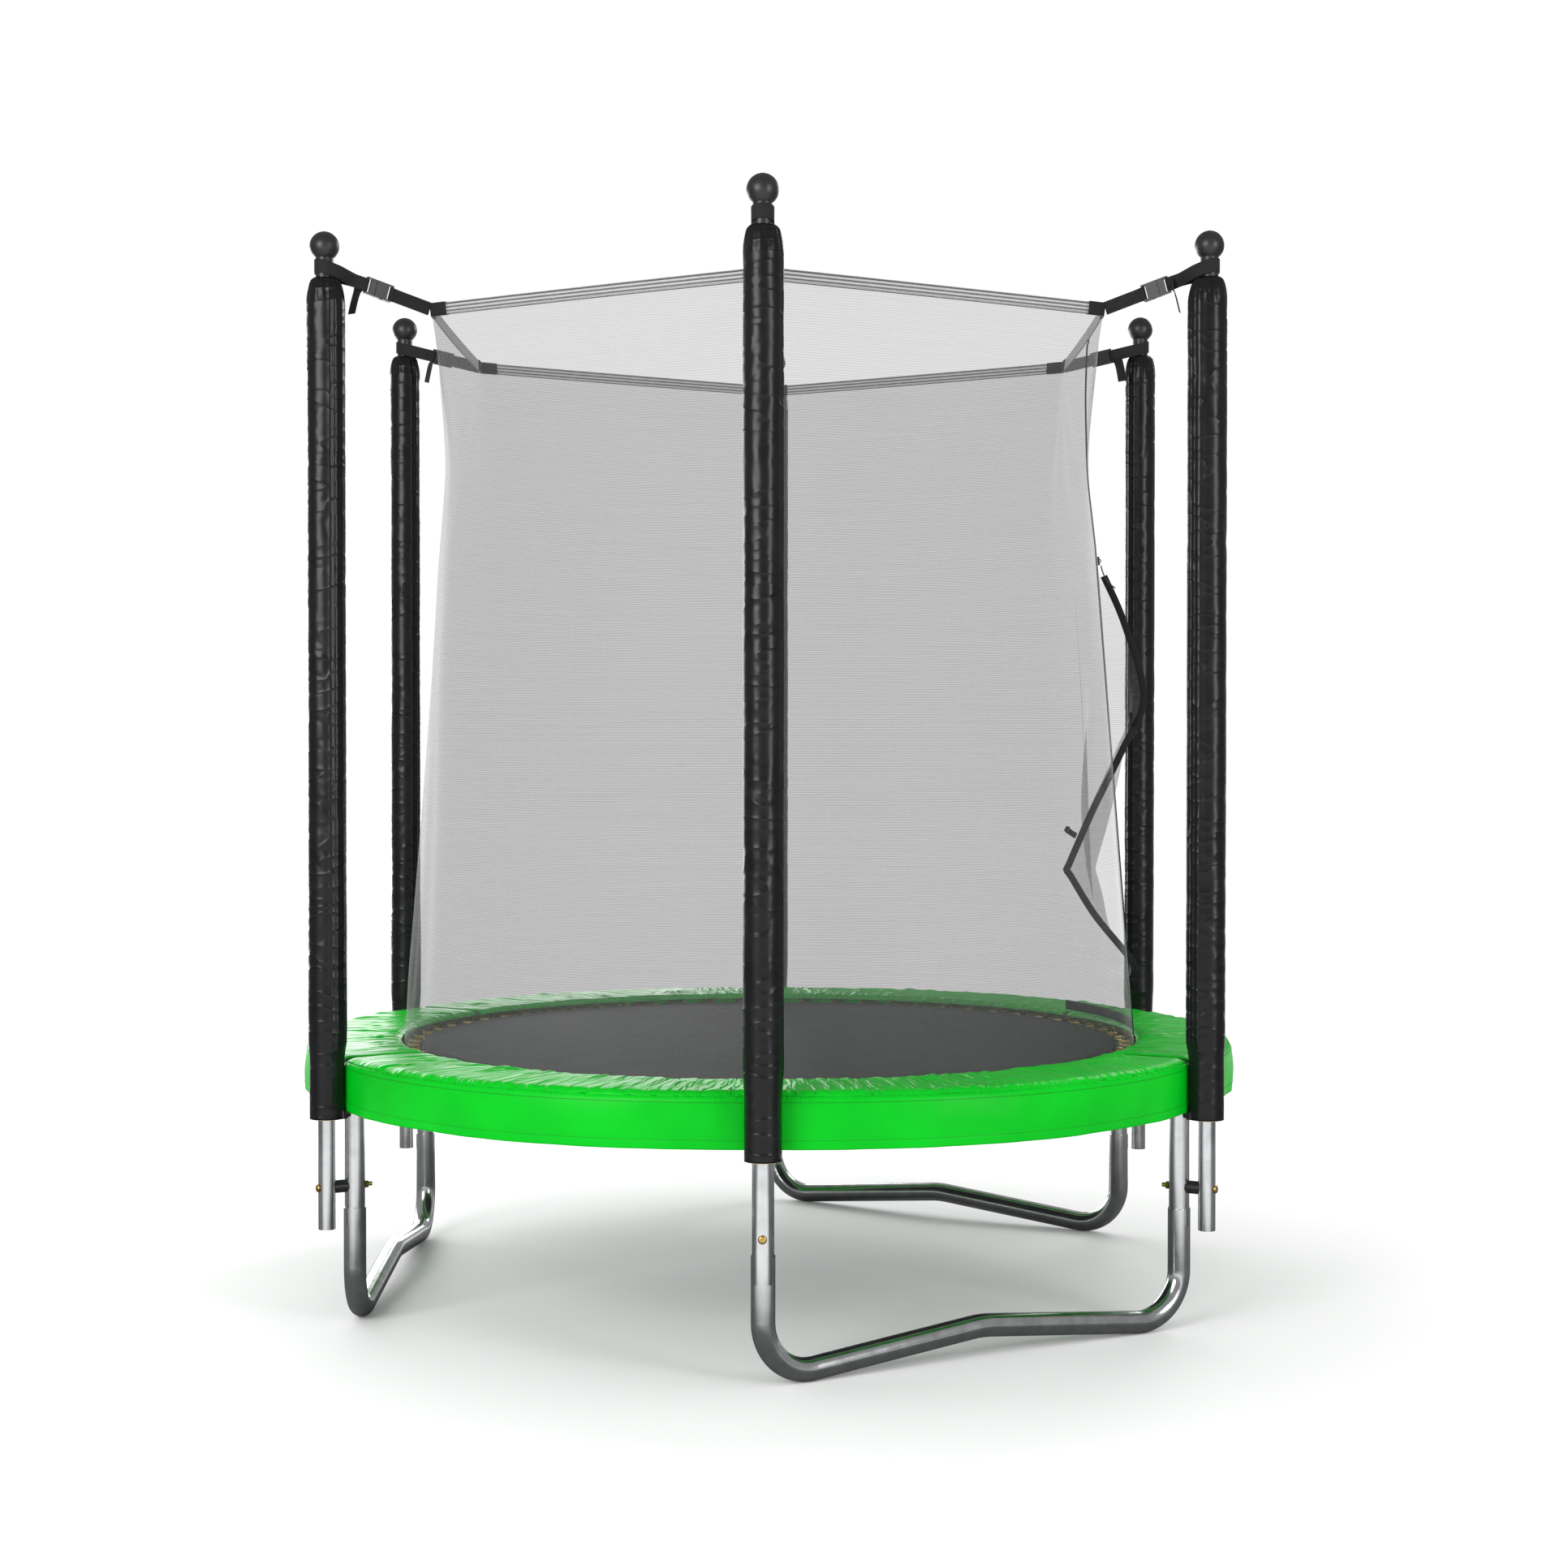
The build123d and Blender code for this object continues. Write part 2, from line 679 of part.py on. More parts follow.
def zip_radius(height):
    """Radius of the zip line; its lower part is straight."""
    top = net_radius(zip_angle - door_side_angle, zip_straight_top)
    bottom = net_radius(zip_angle - door_side_angle, zip_bottom_height)
    if height >= zip_straight_top:
        return net_radius(zip_angle - door_side_angle, height)
    share = (height - zip_bottom_height) / (zip_straight_top - zip_bottom_height)
    return bottom + share * (top - bottom)


def zip_half_angle():
    """Half the zip tape's width as an angle, with the gap to the net beside it."""
    return degrees((zip_tape_width / 2 + webbing_gap) / zip_radius(zip_straight_top))


def zip_strip(width, wall, bottom, top):
    """Strip along the zip line, square to the radius."""
    heights = [bottom] + net_heights(zip_straight_top, top)
    faces = [Pos(0, -zip_radius(height), height) * Rectangle(width, wall) for height in heights]
    return turned(zip_angle, loft(faces, ruled=True))


def zip_track():
    """Zip tape with its row of teeth."""
    tape = zip_strip(zip_tape_width, zip_tape_wall, zip_bottom_height, hem_bottom)
    return tape + zip_strip(zip_teeth_width, zip_teeth_wall, zip_bottom_height, hem_bottom)


def door_side():
    """Side of the net with the door: the parts before the zip, above the door and behind it."""
    before, after = zip_angle - zip_half_angle(), zip_angle + zip_half_angle()
    side = door_side_angle
    first, last = side - station_step / 2, side + station_step / 2
    front = net_piece(first, before, net_panel_bottom, hem_bottom, middle=side)
    above = net_piece(after, door_hinge_angle, door_top_height, hem_bottom, middle=side)
    behind = net_piece(door_hinge_angle, last, net_panel_bottom, hem_bottom, middle=side)
    return Compound(front.solids() + above.solids() + behind.solids())


def door_rows():
    """Hinge, fold and free-edge points of the open door at each level, from the bottom up."""
    after = zip_angle + zip_half_angle()
    halfway = (after + door_hinge_angle) / 2
    door_height = door_top_height - net_panel_bottom

    def on_net(angle, height):
        return polar(angle, net_radius(angle - door_side_angle, height), height)

    edges = [on_net(after, net_panel_bottom)]
    for share, inset, y in door_edge:
        edges.append(Vector(pad_inner_radius - inset, y, net_panel_bottom + share * door_height))
    edges.append(on_net(after, door_top_height))
    rows = []
    for edge in edges:
        opened = edge - on_net(after, edge.Z)
        fold = on_net(halfway, edge.Z) + opened * door_fold_share
        rows.append((on_net(door_hinge_angle, edge.Z), fold, edge))
    return rows


def door_row_at(share):
    """Hinge, fold and free-edge points at a share of the door's height."""
    height = net_panel_bottom + share * (door_top_height - net_panel_bottom)
    rows = door_rows()
    for low, high in zip(rows, rows[1:]):
        if height <= high[2].Z:
            break
    part = (height - low[2].Z) / (high[2].Z - low[2].Z)
    return [a + (b - a) * part for a, b in zip(low, high)]


def inward(point, step):
    """Point moved towards the vertical axis."""
    flat = Vector(point.X, point.Y, 0).normalized()
    return point - flat * step


def door_flap():
    """Net of the open door, hanging from its hinge line in one long wave."""
    faces = []
    for points in door_rows():
        out = [inward(p, -net_wall / 2) for p in points]
        inn = [inward(p, net_wall / 2) for p in points]
        edges = [ThreePointArc(*out), Line(out[2], inn[2]), ThreePointArc(*inn[::-1]), Line(inn[0], out[0])]
        faces.append(make_face(edges))
    return loft(faces, ruled=True)


def binding_frame(points):
    """Section plane at the door's free edge: x runs on from the cloth."""
    hinge, fold, edge = points
    along = (edge - fold).normalized()
    return Plane(edge + along * binding_gap, x_dir=along, z_dir=(0, 0, 1))


def door_binding():
    """Webbing round the door's free edge."""
    width = Pos(binding_width / 2, 0) * Rectangle(binding_width, binding_wall)
    return loft([binding_frame(points) * width for points in door_rows()[1:-1]], ruled=True)


def door_tabs():
    """Tabs on the binding that close the door's second fastening."""
    tab = Box(door_tab_length, door_tab_wall, door_tab_width, align=(Align.MIN, Align.CENTER, Align.CENTER))
    tab = Pos(binding_width + door_tab_gap, 0) * tab
    return Compound([binding_frame(door_row_at(share)).location * tab for share in door_tab_shares])


# ------------------------------------------------------------------- zip slider
def zip_frame(height):
    """Frame on the zip line: z points out of the net, y up along the zip."""
    foot, head = (Vector(0, -zip_radius(z), z) for z in (zip_bottom_height, zip_straight_top))
    up = (head - foot).normalized()
    out = Vector(0, -up.Z, up.Y)
    origin = Vector(0, -zip_radius(height), height)
    return Plane(origin, x_dir=up.cross(out), z_dir=out)


def zip_slider():
    """Slider on the outside of the zip, with the eye for its cord."""
    base = zip_teeth_wall / 2 + slider_gap
    top = Pos(0, 0, base + slider_wall)
    align = (Align.CENTER, Align.CENTER, Align.MIN)
    body = Pos(0, 0, base) * Box(slider_width, slider_length, slider_wall, align=align)
    body = fillet(body.edges().filter_by(Axis.Z), slider_round)
    eye = Rot(0, 90, 0) * Cylinder(slider_eye_dia / 2, slider_wall)
    eye -= Rot(0, 90, 0) * Cylinder(slider_eye_dia / 2 - slider_eye_wall, 2 * slider_wall)
    eye &= Pos(0, 0, -overrun) * Box(slider_width, slider_length, slider_width, align=align)
    return turned(zip_angle, zip_frame(slider_height).location * (body + top * eye))


def pull_cord():
    """Cord tied to the slider's eye."""
    points = [Vector(0, -zip_radius(slider_height) - out, slider_height - drop) for out, drop in pull_route]
    radii = []
    for a, b, c in zip(points, points[1:], points[2:]):
        turn = radians((b - a).get_angle(c - b))
        radii.append(pull_bend_share * min((b - a).length, (c - b).length) / tan(turn / 2))
    path = FilletPolyline(*points, radius=radii)
    cord = sweep(Plane(path @ 0, z_dir=path % 0) * Circle(pull_dia / 2), path)
    return turned(zip_angle, cord)


# ------------------------------------------------------------- straps and buckles
def strap_plane():
    """Plane of a strap at the front: x runs down to the net, z is across the webbing."""
    foot = Vector(0, -net_radii(hem_bottom + hem_height / 2)[0], hem_bottom + hem_height / 2)
    head = Vector(0, -pole_radius, strap_height)
    along = (foot - head).normalized()
    return Plane(head, x_dir=along, z_dir=Vector(0, -along.Z, along.Y))


def block(start, length, across, wall):
    """Block on a strap's line: start and length along it, then width and thickness."""
    align = (Align.MIN, Align.CENTER, Align.CENTER)
    return Pos(start, 0, 0) * Box(length, wall, across, align=align)


def loop_outline(radius, reach):
    """Loop round a cap's neck: half a circle, a straight part and two closing sides."""
    straight = strap_loop_straight
    side = Polyline((0, -radius), (straight, -radius), (reach, 0), (straight, radius), (0, radius))
    return make_face([ThreePointArc((0, radius), (-radius, 0), (0, -radius)), side])


def webbing_round_bar(bar_start, bar_end, start, end):
    """Two plies of webbing from start to end that meet round a bar."""
    inner = buckle_bar_wall / 2 + webbing_gap
    outer = 2 * (inner + strap_wall)
    low, high = min(bar_start, start), max(bar_end, end)
    plies = block(low, high - low, strap_width, outer)
    room = bar_end - bar_start + 2 * webbing_gap
    return plies - block(bar_start - webbing_gap, room, 2 * strap_width, 2 * inner)


def strap():
    """Webbing loop from a cap's neck to the buckle, with its loose tail."""
    plane = strap_plane()
    loop = loop_outline(strap_loop_radius + strap_wall, strap_loop_reach + 2 * strap_wall)
    loop -= loop_outline(strap_loop_radius, strap_loop_reach - 4 * strap_wall)
    loop = Pos(0, 0, -strap_width / 2) * (plane.location * extrude_up(loop, strap_width, plane))
    plies_start = strap_loop_reach - 2 * strap_wall - strap_loop_join
    wrap_end = buckle_start + buckle_bar + webbing_gap + strap_wall
    plies = block(plies_start, buckle_start - plies_start, strap_width, 2 * strap_wall)
    wrap = webbing_round_bar(buckle_start, buckle_start + buckle_bar, buckle_start - wrap_reach, wrap_end)
    tail_side = buckle_bar_wall / 2 + webbing_gap + 1.5 * strap_wall
    near = buckle_start - tail_gap
    far = near - strap_width
    tail_outline = Polyline(
        (near, strap_width / 2), (near, -strap_width / 2 - strap_wall), (near + tail_lean, -tail_length),
        (far + tail_lean, -tail_length), (far, -strap_wall), (far, strap_width / 2), close=True,
    )
    tail = extrude(Plane.XZ * make_face(tail_outline), strap_wall / 2, both=True)
    return loop + plane.location * (plies + wrap + Pos(0, tail_side, 0) * tail)


def extrude_up(face, amount, plane):
    """Extrusion in a tilted plane's frame along the world's vertical."""
    up = Vector(0, 0, 1)
    local = Vector(up.dot(plane.x_dir), up.dot(plane.y_dir), up.dot(plane.z_dir))
    return extrude(face, amount, dir=local)


def buckle_plug():
    """Half of the buckle on the strap: bar, slot, body and its three prongs."""
    start = buckle_start
    body_start = start + buckle_bar + buckle_slot
    body_end = body_start + buckle_body
    plug = block(start, body_end - start, buckle_width, buckle_wall)
    slot_width = strap_width + 2 * webbing_gap
    plug -= block(start - overrun, body_start - start + overrun, slot_width, 2 * buckle_wall)
    plug += block(start, buckle_bar, buckle_width, buckle_bar_wall)
    reach = buckle_width / 2 - socket_wall - webbing_gap - prong_width / 2
    for side in (-1, 0, 1):
        prong = block(body_end - overrun, prong_length + overrun, prong_width, prong_wall)
        plug += Pos(0, 0, side * reach) * prong
    return strap_plane().location * plug


def buckle_socket():
    """Half of the buckle on the net: a hollow body with side windows, slot and bar."""
    start = buckle_start + buckle_bar + buckle_slot + buckle_body + buckle_gap
    end = start + socket_length
    bar_start = end - buckle_bar
    socket = block(start, socket_length, buckle_width, socket_thickness)
    cavity = buckle_width - 2 * socket_wall
    cavity_wall = prong_wall + 2 * webbing_gap
    socket -= block(start - overrun, socket_depth + overrun, cavity, cavity_wall)
    socket -= block(start + socket_depth / 2, socket_window, 2 * buckle_width, cavity_wall)
    slot_width = strap_width + 2 * webbing_gap
    slot_length = buckle_slot + buckle_bar + overrun
    socket -= block(bar_start - buckle_slot, slot_length, slot_width, 2 * socket_thickness)
    socket += block(bar_start, buckle_bar, buckle_width, buckle_bar_wall)
    return strap_plane().location * socket


def corner_tab():
    """Webbing from a buckle to a corner of the net, sewn round the hem on both sides."""
    plane = strap_plane()
    bar_end = buckle_start + buckle_bar + buckle_slot + buckle_body + buckle_gap + socket_length
    bar_start = bar_end - buckle_bar
    wing_face = net_radii(net_top_height)[0] + hem_wall / 2 + corner_tab_gap
    slope = -plane.x_dir.Z / plane.x_dir.Y
    end = (pole_radius - wing_face) / plane.x_dir.Y - strap_width / 2 * slope - strap_wall
    wrap = webbing_round_bar(bar_start, bar_end, bar_start - webbing_gap - strap_wall, bar_end + wrap_reach)
    plies_start = bar_end + wrap_reach - overrun
    plies = block(plies_start, end - plies_start, strap_width, 2 * strap_wall)
    tab = plane.location * (wrap + plies)
    turn = radians(station_step / 2)
    wall = 2 * strap_wall
    tip = Vector(corner_wing * cos(turn), corner_wing * sin(turn))
    outer_tip = tip + Vector(wall * sin(turn), -wall * cos(turn))
    chevron = Polyline(
        (0, 0), tip, outer_tip, (0, -wall / cos(turn)),
        (-outer_tip.X, outer_tip.Y), (-tip.X, tip.Y), close=True,
    )
    wings = extrude(make_face(chevron), corner_tab_height / 2, both=True)
    return tab + Pos(0, -wing_face, hem_bottom + hem_height / 2) * wings


# ----------------------------------------------------------------------- writing
os.makedirs("parts", exist_ok=True)

rail = top_rail()
cover = sleeve()
webbing = strap()
plug = buckle_plug()
for number in range(1, station_count + 1):
    angle = (number - 1) * station_step
    save(f"top_rail_{number}", turned(angle, rail))
    save(f"pole_sleeve_{number}", turned(angle, cover))
    save(f"net_strap_{number}", turned(angle, webbing))
    save(f"buckle_plug_{number}", turned(angle, plug))

for number in range(1, station_count // 2 + 1):
    leg_angle = (2 * number - 1.5) * station_step
    save(f"leg_crossbar_{number}", turned(leg_angle, crossbar()))
    save(f"leg_foot_{2 * number - 1}", turned(leg_angle, foot_corner(-1)))
    save(f"leg_foot_{2 * number}", turned(leg_angle, foot_corner(1)))

save("leg_uprights", *at_stations(upright()))
save("pole_lower_tubes", *at_stations(pole_lower()))
save("pole_upper_tubes", *at_stations(pole_upper()))
save("pole_caps", *at_stations(pole_cap()))
save("pole_foam", *at_stations(foam()))
save("pole_spacers", *at_stations(spacers()))
save("pole_bolts", *at_stations(bolts()))
save("pole_nuts", *at_stations(nuts()))
save("rail_screws", *at_stations(rail_screw()))

save("mat", mat())
save("mat_tabs", *round_the_mat(mat_tab()))
save("mat_rings", *round_the_mat(mat_ring()))
save("springs", *round_the_mat(spring()))
save("spring_pad", *at_stations(pad_panel()))
save("pad_skirt", *at_stations(pad_skirt()))

door_station = round((door_side_angle - station_step / 2) / station_step)
plain_sides = [i for i in range(station_count) if i != door_station]
save("net_panels", *[net_side(i, net_panel_bottom, hem_bottom) for i in plain_sides])
save("net_door_panel", door_side())
save("net_lower_band", *[net_foot(i) for i in range(station_count)])
save("net_top_hem", *[net_side(i, hem_bottom, net_top_height, hem_wall) for i in range(station_count)])
save("net_corner_tabs", *at_stations(corner_tab()))
save("buckle_sockets", *at_stations(buckle_socket()))
save("door_flap", door_flap())
save("door_binding", door_binding())
save("door_tabs", door_tabs())
save("zip_track", zip_track())
save("zip_slider", zip_slider())
save("zip_pull_cord", pull_cord())
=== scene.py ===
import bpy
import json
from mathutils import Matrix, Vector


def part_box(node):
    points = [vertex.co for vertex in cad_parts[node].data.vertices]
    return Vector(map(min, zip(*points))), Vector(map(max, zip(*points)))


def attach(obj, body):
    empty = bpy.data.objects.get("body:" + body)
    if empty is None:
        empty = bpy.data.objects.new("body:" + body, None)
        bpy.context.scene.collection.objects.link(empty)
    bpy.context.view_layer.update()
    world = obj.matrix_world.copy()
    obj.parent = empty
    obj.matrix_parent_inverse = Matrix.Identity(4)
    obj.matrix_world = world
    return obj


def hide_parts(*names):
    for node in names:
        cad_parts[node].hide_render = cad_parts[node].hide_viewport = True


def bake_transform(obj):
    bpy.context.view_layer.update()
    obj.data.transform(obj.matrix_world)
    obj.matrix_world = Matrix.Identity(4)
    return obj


bl_info = {
    "name": "Garden Trampoline",
    "version": (1, 0, 0),
    "blender": (4, 5, 0),
    "location": "View3D > Sidebar > Trampoline",
    "description": "Round garden trampoline with six padded poles and an inner safety net",
    "category": "Object",
}

import json
import math

import bpy
import numpy as np
from mathutils import Matrix, Vector

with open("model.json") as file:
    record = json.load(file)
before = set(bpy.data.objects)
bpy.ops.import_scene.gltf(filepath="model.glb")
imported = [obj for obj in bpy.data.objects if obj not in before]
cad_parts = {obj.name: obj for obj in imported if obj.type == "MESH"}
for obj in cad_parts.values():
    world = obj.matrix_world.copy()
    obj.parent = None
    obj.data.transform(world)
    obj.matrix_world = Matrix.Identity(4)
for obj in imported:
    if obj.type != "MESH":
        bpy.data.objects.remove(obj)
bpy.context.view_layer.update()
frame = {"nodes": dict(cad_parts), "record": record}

MM = 0.001
STATIONS = 6
STEP = 360 / STATIONS
SPRINGS = 66
SPRING_PITCH = 360 / SPRINGS
FIRST_SPRING = SPRING_PITCH / 2 - 8.0

# Height, radius at a corner and radius at the middle of a side, in millimetres
NET_PROFILE = (
    (498, 741, 743.5), (740, 732, 722), (960, 722, 705), (1200, 717, 688),
    (1450, 707, 668), (1640, 700, 645), (1800, 722, 640), (1936, 740, 644),
)
# Free edge of the open door in millimetres: height, x, y
DOOR_EDGE = (
    (650, 735, -35), (740, 667, 25), (822, 618, 51), (835, 609, 55), (850, 615, 57), (960, 665, 72),
    (1090, 728, 70), (1195, 768, 50), (1340, 722, -5),
)
# Pull cord in the slider's radial plane, in millimetres: out from the zip, and drop
PULL_ROUTE = ((9, 9), (12, 21), (17.5, 34), (26, 46), (38, 55))
# Each sleeve's closing seam: its turn from the outward side in degrees, the slack cloth beside it in
# millimetres, and the turn from the seam to that slack
SEAM_TURNS = ((100, 1.0, 30), (-118, 7.0, -32), (-170, 1.5, 30), (180, 2.0, 0), (172, 1.5, -30),
              (106, 5.0, 44))
# Mean radii that turn an angle into a length on the cloth's UV map
NET_UV_RADIUS = 0.7
PAD_UV_RADIUS = 0.83
# Lower and upper end of the zip's straight part
ZIP_STRAIGHT = (0.510, 1.500)
# Share of the way out to the belly where the pad's own side lies; the skirt takes up the rest
PAD_SHARE = 0.8
# How much thinner the pad starts before its filling swells it, the size of the even faces that the cloth
# is simulated with, and the last frame of the simulation
PAD_INSET, PAD_VOXEL, CLOTH_FRAMES = 0.0022, 0.0059, 20
# How far a point of the swollen pad may move: up, down, and inwards or outwards
PAD_UP, PAD_DOWN, PAD_ASIDE = 0.0042, 0.0004, 0.0012
# Name, place, width and height, and power of each lamp
LAMPS = (
    ("key", (-3.0, -4.8, 2.6), (2.6, 2.6), 170), ("fill", (3.6, -4.2, 2.0), (1.4, 3.0), 90),
    ("window", (-2.3, 4.4, 1.5), (4.8, 2.2), 200), ("back", (2.6, 4.2, 3.4), (2.0, 1.6), 50),
)


# ------------------------------------------------------------------- sizes and colours
def size_property(name, description, value, unit="LENGTH"):
    """Number that a user may change, a length unless another unit is given."""
    return bpy.props.FloatProperty(name=name, description=description, default=value, unit=unit)


class TrampolineSizes(bpy.types.PropertyGroup):
    """Sizes that a user may change, in metres and degrees"""
    pole_radius: size_property("Pole circle", "Circle through the net poles", 0.951)
    mat_radius: size_property("Mat radius", "Radius of the jumping mat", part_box("mat")[1].x)
    mat_top: size_property("Mat height", "Height of the jumping surface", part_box("mat")[1].z)
    pad_inner: size_property("Pad opening", "Inner radius of the spring pad", 0.746)
    pad_top: size_property("Pad height", "Top of the spring pad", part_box("spring_pad")[1].z)
    pad_bottom: size_property(
        "Pad underside", "Underside of the spring pad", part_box("spring_pad")[0].z)
    skirt_bottom: size_property(
        "Skirt hem", "Height of the skirt's lower edge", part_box("pad_skirt")[0].z)
    skirt_seam: size_property("Skirt at a pole", "Outer radius of the skirt behind a pole", 0.9176)
    skirt_belly: size_property(
        "Skirt between poles", "Outer radius of the skirt halfway between two poles", 0.941)
    sleeve_radius: size_property("Sleeve radius", "Outer radius of a pole's padded sleeve", 0.0338)
    sleeve_bottom: size_property(
        "Sleeve bottom", "Height of a sleeve's open end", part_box("pole_sleeve_1")[0].z)
    sleeve_top: size_property(
        "Sleeve top", "Height of a sleeve's gathered neck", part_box("pole_sleeve_1")[1].z)
    net_top: size_property("Net top", "Top of the net's hem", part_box("net_top_hem")[1].z)
    hem_height: size_property("Hem height", "Height of the hem band", 0.022)
    band_top: size_property("Lower band top", "Height where the net's lower band begins", 0.620)
    net_bottom: size_property("Net foot", "Height of the net's lower edge", 0.498)
    zip_angle: size_property(
        "Zip angle", "Place of the zip, in degrees from the front", 84.0, "NONE")
    hinge_angle: size_property(
        "Door hinge angle", "Place of the door's fold, in degrees from the front", 108.0, "NONE")
    door_top: size_property("Door top", "Height of the door's upper end", 1.450)
    spring_wire: size_property("Spring wire", "Diameter of the spring wire", 0.003)
    spring_radius: size_property("Spring radius", "Outer radius of a spring's coil", 0.010)
    webbing: size_property("Webbing width", "Width of the straps", 0.025)
    ply: size_property("Webbing thickness", "Thickness of one ply of webbing", 0.0016)
    stitch: size_property("Stitch pitch", "Distance from one stitch to the next", 0.005)


def colour_property(name, value):
    """Colour picker for one finish."""
    return bpy.props.FloatVectorProperty(
        name=name, description=f"Colour of the {name.lower()}", subtype="COLOR", size=3,
        min=0.0, max=1.0, default=value)


class TrampolineColours(bpy.types.PropertyGroup):
    """Colours of the finishes"""
    steel: colour_property("Galvanised steel", (0.68, 0.69, 0.70))
    zinc: colour_property("Yellow zinc", (0.62, 0.42, 0.14))
    spring: colour_property("Spring steel", (0.24, 0.19, 0.12))
    plastic: colour_property("Black plastic", (0.013, 0.013, 0.014))
    sleeve: colour_property("Sleeve vinyl", (0.006, 0.006, 0.007))
    foam: colour_property("Foam", (0.80, 0.62, 0.30))
    webbing: colour_property("Webbing", (0.008, 0.008, 0.009))
    thread: colour_property("Thread", (0.020, 0.020, 0.022))
    mat: colour_property("Mat cloth", (0.030, 0.030, 0.032))
    pad: colour_property("Pad vinyl", (0.0, 0.44, 0.012))
    net: colour_property("Net", (0.090, 0.090, 0.093))
    hem: colour_property("Hem tape", (0.34, 0.34, 0.35))
    floor: colour_property("Floor", (0.86, 0.86, 0.86))


# ------------------------------------------------------------------------ node helpers
def add(tree, kind, settings=None, inputs=None):
    """Node with its settings and inputs; an input is a value or another node's socket."""
    node = tree.nodes.new(kind)
    for name, value in (settings or {}).items():
        setattr(node, name, value)
    for key, value in (inputs or {}).items():
        if isinstance(value, bpy.types.NodeSocket):
            tree.links.new(value, node.inputs[key])
        else:
            node.inputs[key].default_value = value
    return node


def maths(tree, operation, *values, clamp=False):
    """Output of a Math node."""
    settings = {"operation": operation, "use_clamp": clamp}
    return add(tree, "ShaderNodeMath", settings, dict(enumerate(values))).outputs[0]


def times(tree, a, b, clamp=False):
    """Product of two values."""
    return maths(tree, "MULTIPLY", a, b, clamp=clamp)


def plus(tree, a, b):
    """Sum of two values."""
    return maths(tree, "ADD", a, b)


def minus(tree, a, b):
    """Difference of two values."""
    return maths(tree, "SUBTRACT", a, b)


def times_plus(tree, a, b, c, clamp=False):
    """Product of two values plus a third."""
    return maths(tree, "MULTIPLY_ADD", a, b, c, clamp=clamp)


def parts(tree, vector):
    """The three numbers of a vector."""
    return add(tree, "ShaderNodeSeparateXYZ", None, {0: vector}).outputs


def new_group(kind, name, inputs, outputs):
    """Node group with named sockets, its inputs as (name, type, default), and its two end nodes."""
    tree = bpy.data.node_groups.new(name, kind)
    for label, socket_type, value in inputs:
        socket = tree.interface.new_socket(name=label, in_out="INPUT", socket_type=socket_type)
        if value is not None:
            socket.default_value = value
    for label, socket_type in outputs:
        tree.interface.new_socket(name=label, in_out="OUTPUT", socket_type=socket_type)
    return tree, tree.nodes.new("NodeGroupInput"), tree.nodes.new("NodeGroupOutput")


FLOAT, INTEGER, VECTOR = "NodeSocketFloat", "NodeSocketInt", "NodeSocketVector"
GEOMETRY, MATERIAL, COLOUR = "NodeSocketGeometry", "NodeSocketMaterial", "NodeSocketColor"


def shader_group(name, inputs, outputs):
    """Shader group with a vector among its inputs and plain numbers as outputs."""
    return new_group("ShaderNodeTree", name, [("Vector", VECTOR, None)] + inputs,
                     [(label, FLOAT) for label in outputs])


def mottle_group():
    """Soft uneven patches, as a value around one half."""
    tree, start, end = shader_group("Mottle", [("Scale", FLOAT, 5.0), ("Detail", FLOAT, 3.0)], ["Value"])
    noise = add(tree, "ShaderNodeTexNoise", None, {
        "Vector": start.outputs["Vector"], "Scale": start.outputs["Scale"],
        "Detail": start.outputs["Detail"]})
    tree.links.new(noise.outputs["Fac"], end.inputs["Value"])
    return tree


def weave_group():
    """Plain weave: threads that cross over and under each other."""
    tree, start, end = shader_group(
        "Plain Weave", [("Threads Across", FLOAT, 400.0), ("Threads Along", FLOAT, 400.0)],
        ["Height", "Gap"])
    spot = parts(tree, start.outputs["Vector"])
    across = times(tree, spot[0], start.outputs["Threads Across"])
    along = times(tree, spot[1], start.outputs["Threads Along"])
    wave_a = maths(tree, "SINE", times(tree, across, math.pi))
    wave_b = maths(tree, "SINE", times(tree, along, math.pi))
    crossing = times(tree, wave_a, wave_b)
    height = times_plus(tree, crossing, 0.5, 0.5)
    gap = times(tree, maths(tree, "ABSOLUTE", wave_a), maths(tree, "ABSOLUTE", wave_b))
    tree.links.new(height, end.inputs["Height"])
    tree.links.new(gap, end.inputs["Gap"])
    return tree


def grain_group():
    """Fine moulded or embossed grain."""
    tree, start, end = shader_group("Fine Grain", [("Scale", FLOAT, 900.0)], ["Height"])
    cells = add(tree, "ShaderNodeTexVoronoi", None, {
        "Vector": start.outputs["Vector"], "Scale": start.outputs["Scale"]})
    noise = add(tree, "ShaderNodeTexNoise", None, {
        "Vector": start.outputs["Vector"], "Scale": start.outputs["Scale"], "Detail": 2.0})
    tree.links.new(times(tree, cells.outputs["Distance"], noise.outputs["Fac"]),
                   end.inputs["Height"])
    return tree


def crinkle_group():
    """Sharp small creases that run across a stretched direction."""
    tree, start, end = shader_group("Crinkle", [
        ("Scale", FLOAT, 20.0), ("Sharpness", FLOAT, 6.0), ("Detail", FLOAT, 3.0)], ["Height"])
    noise = add(tree, "ShaderNodeTexNoise", None, {
        "Vector": start.outputs["Vector"], "Scale": start.outputs["Scale"],
        "Detail": start.outputs["Detail"], "Roughness": 0.45})
    folded = maths(tree, "ABSOLUTE", times_plus(tree, noise.outputs["Fac"], 2.0, -1.0))
    ridge = maths(tree, "POWER", minus(tree, 1.0, folded), start.outputs["Sharpness"])
    tree.links.new(ridge, end.inputs["Height"])
    return tree


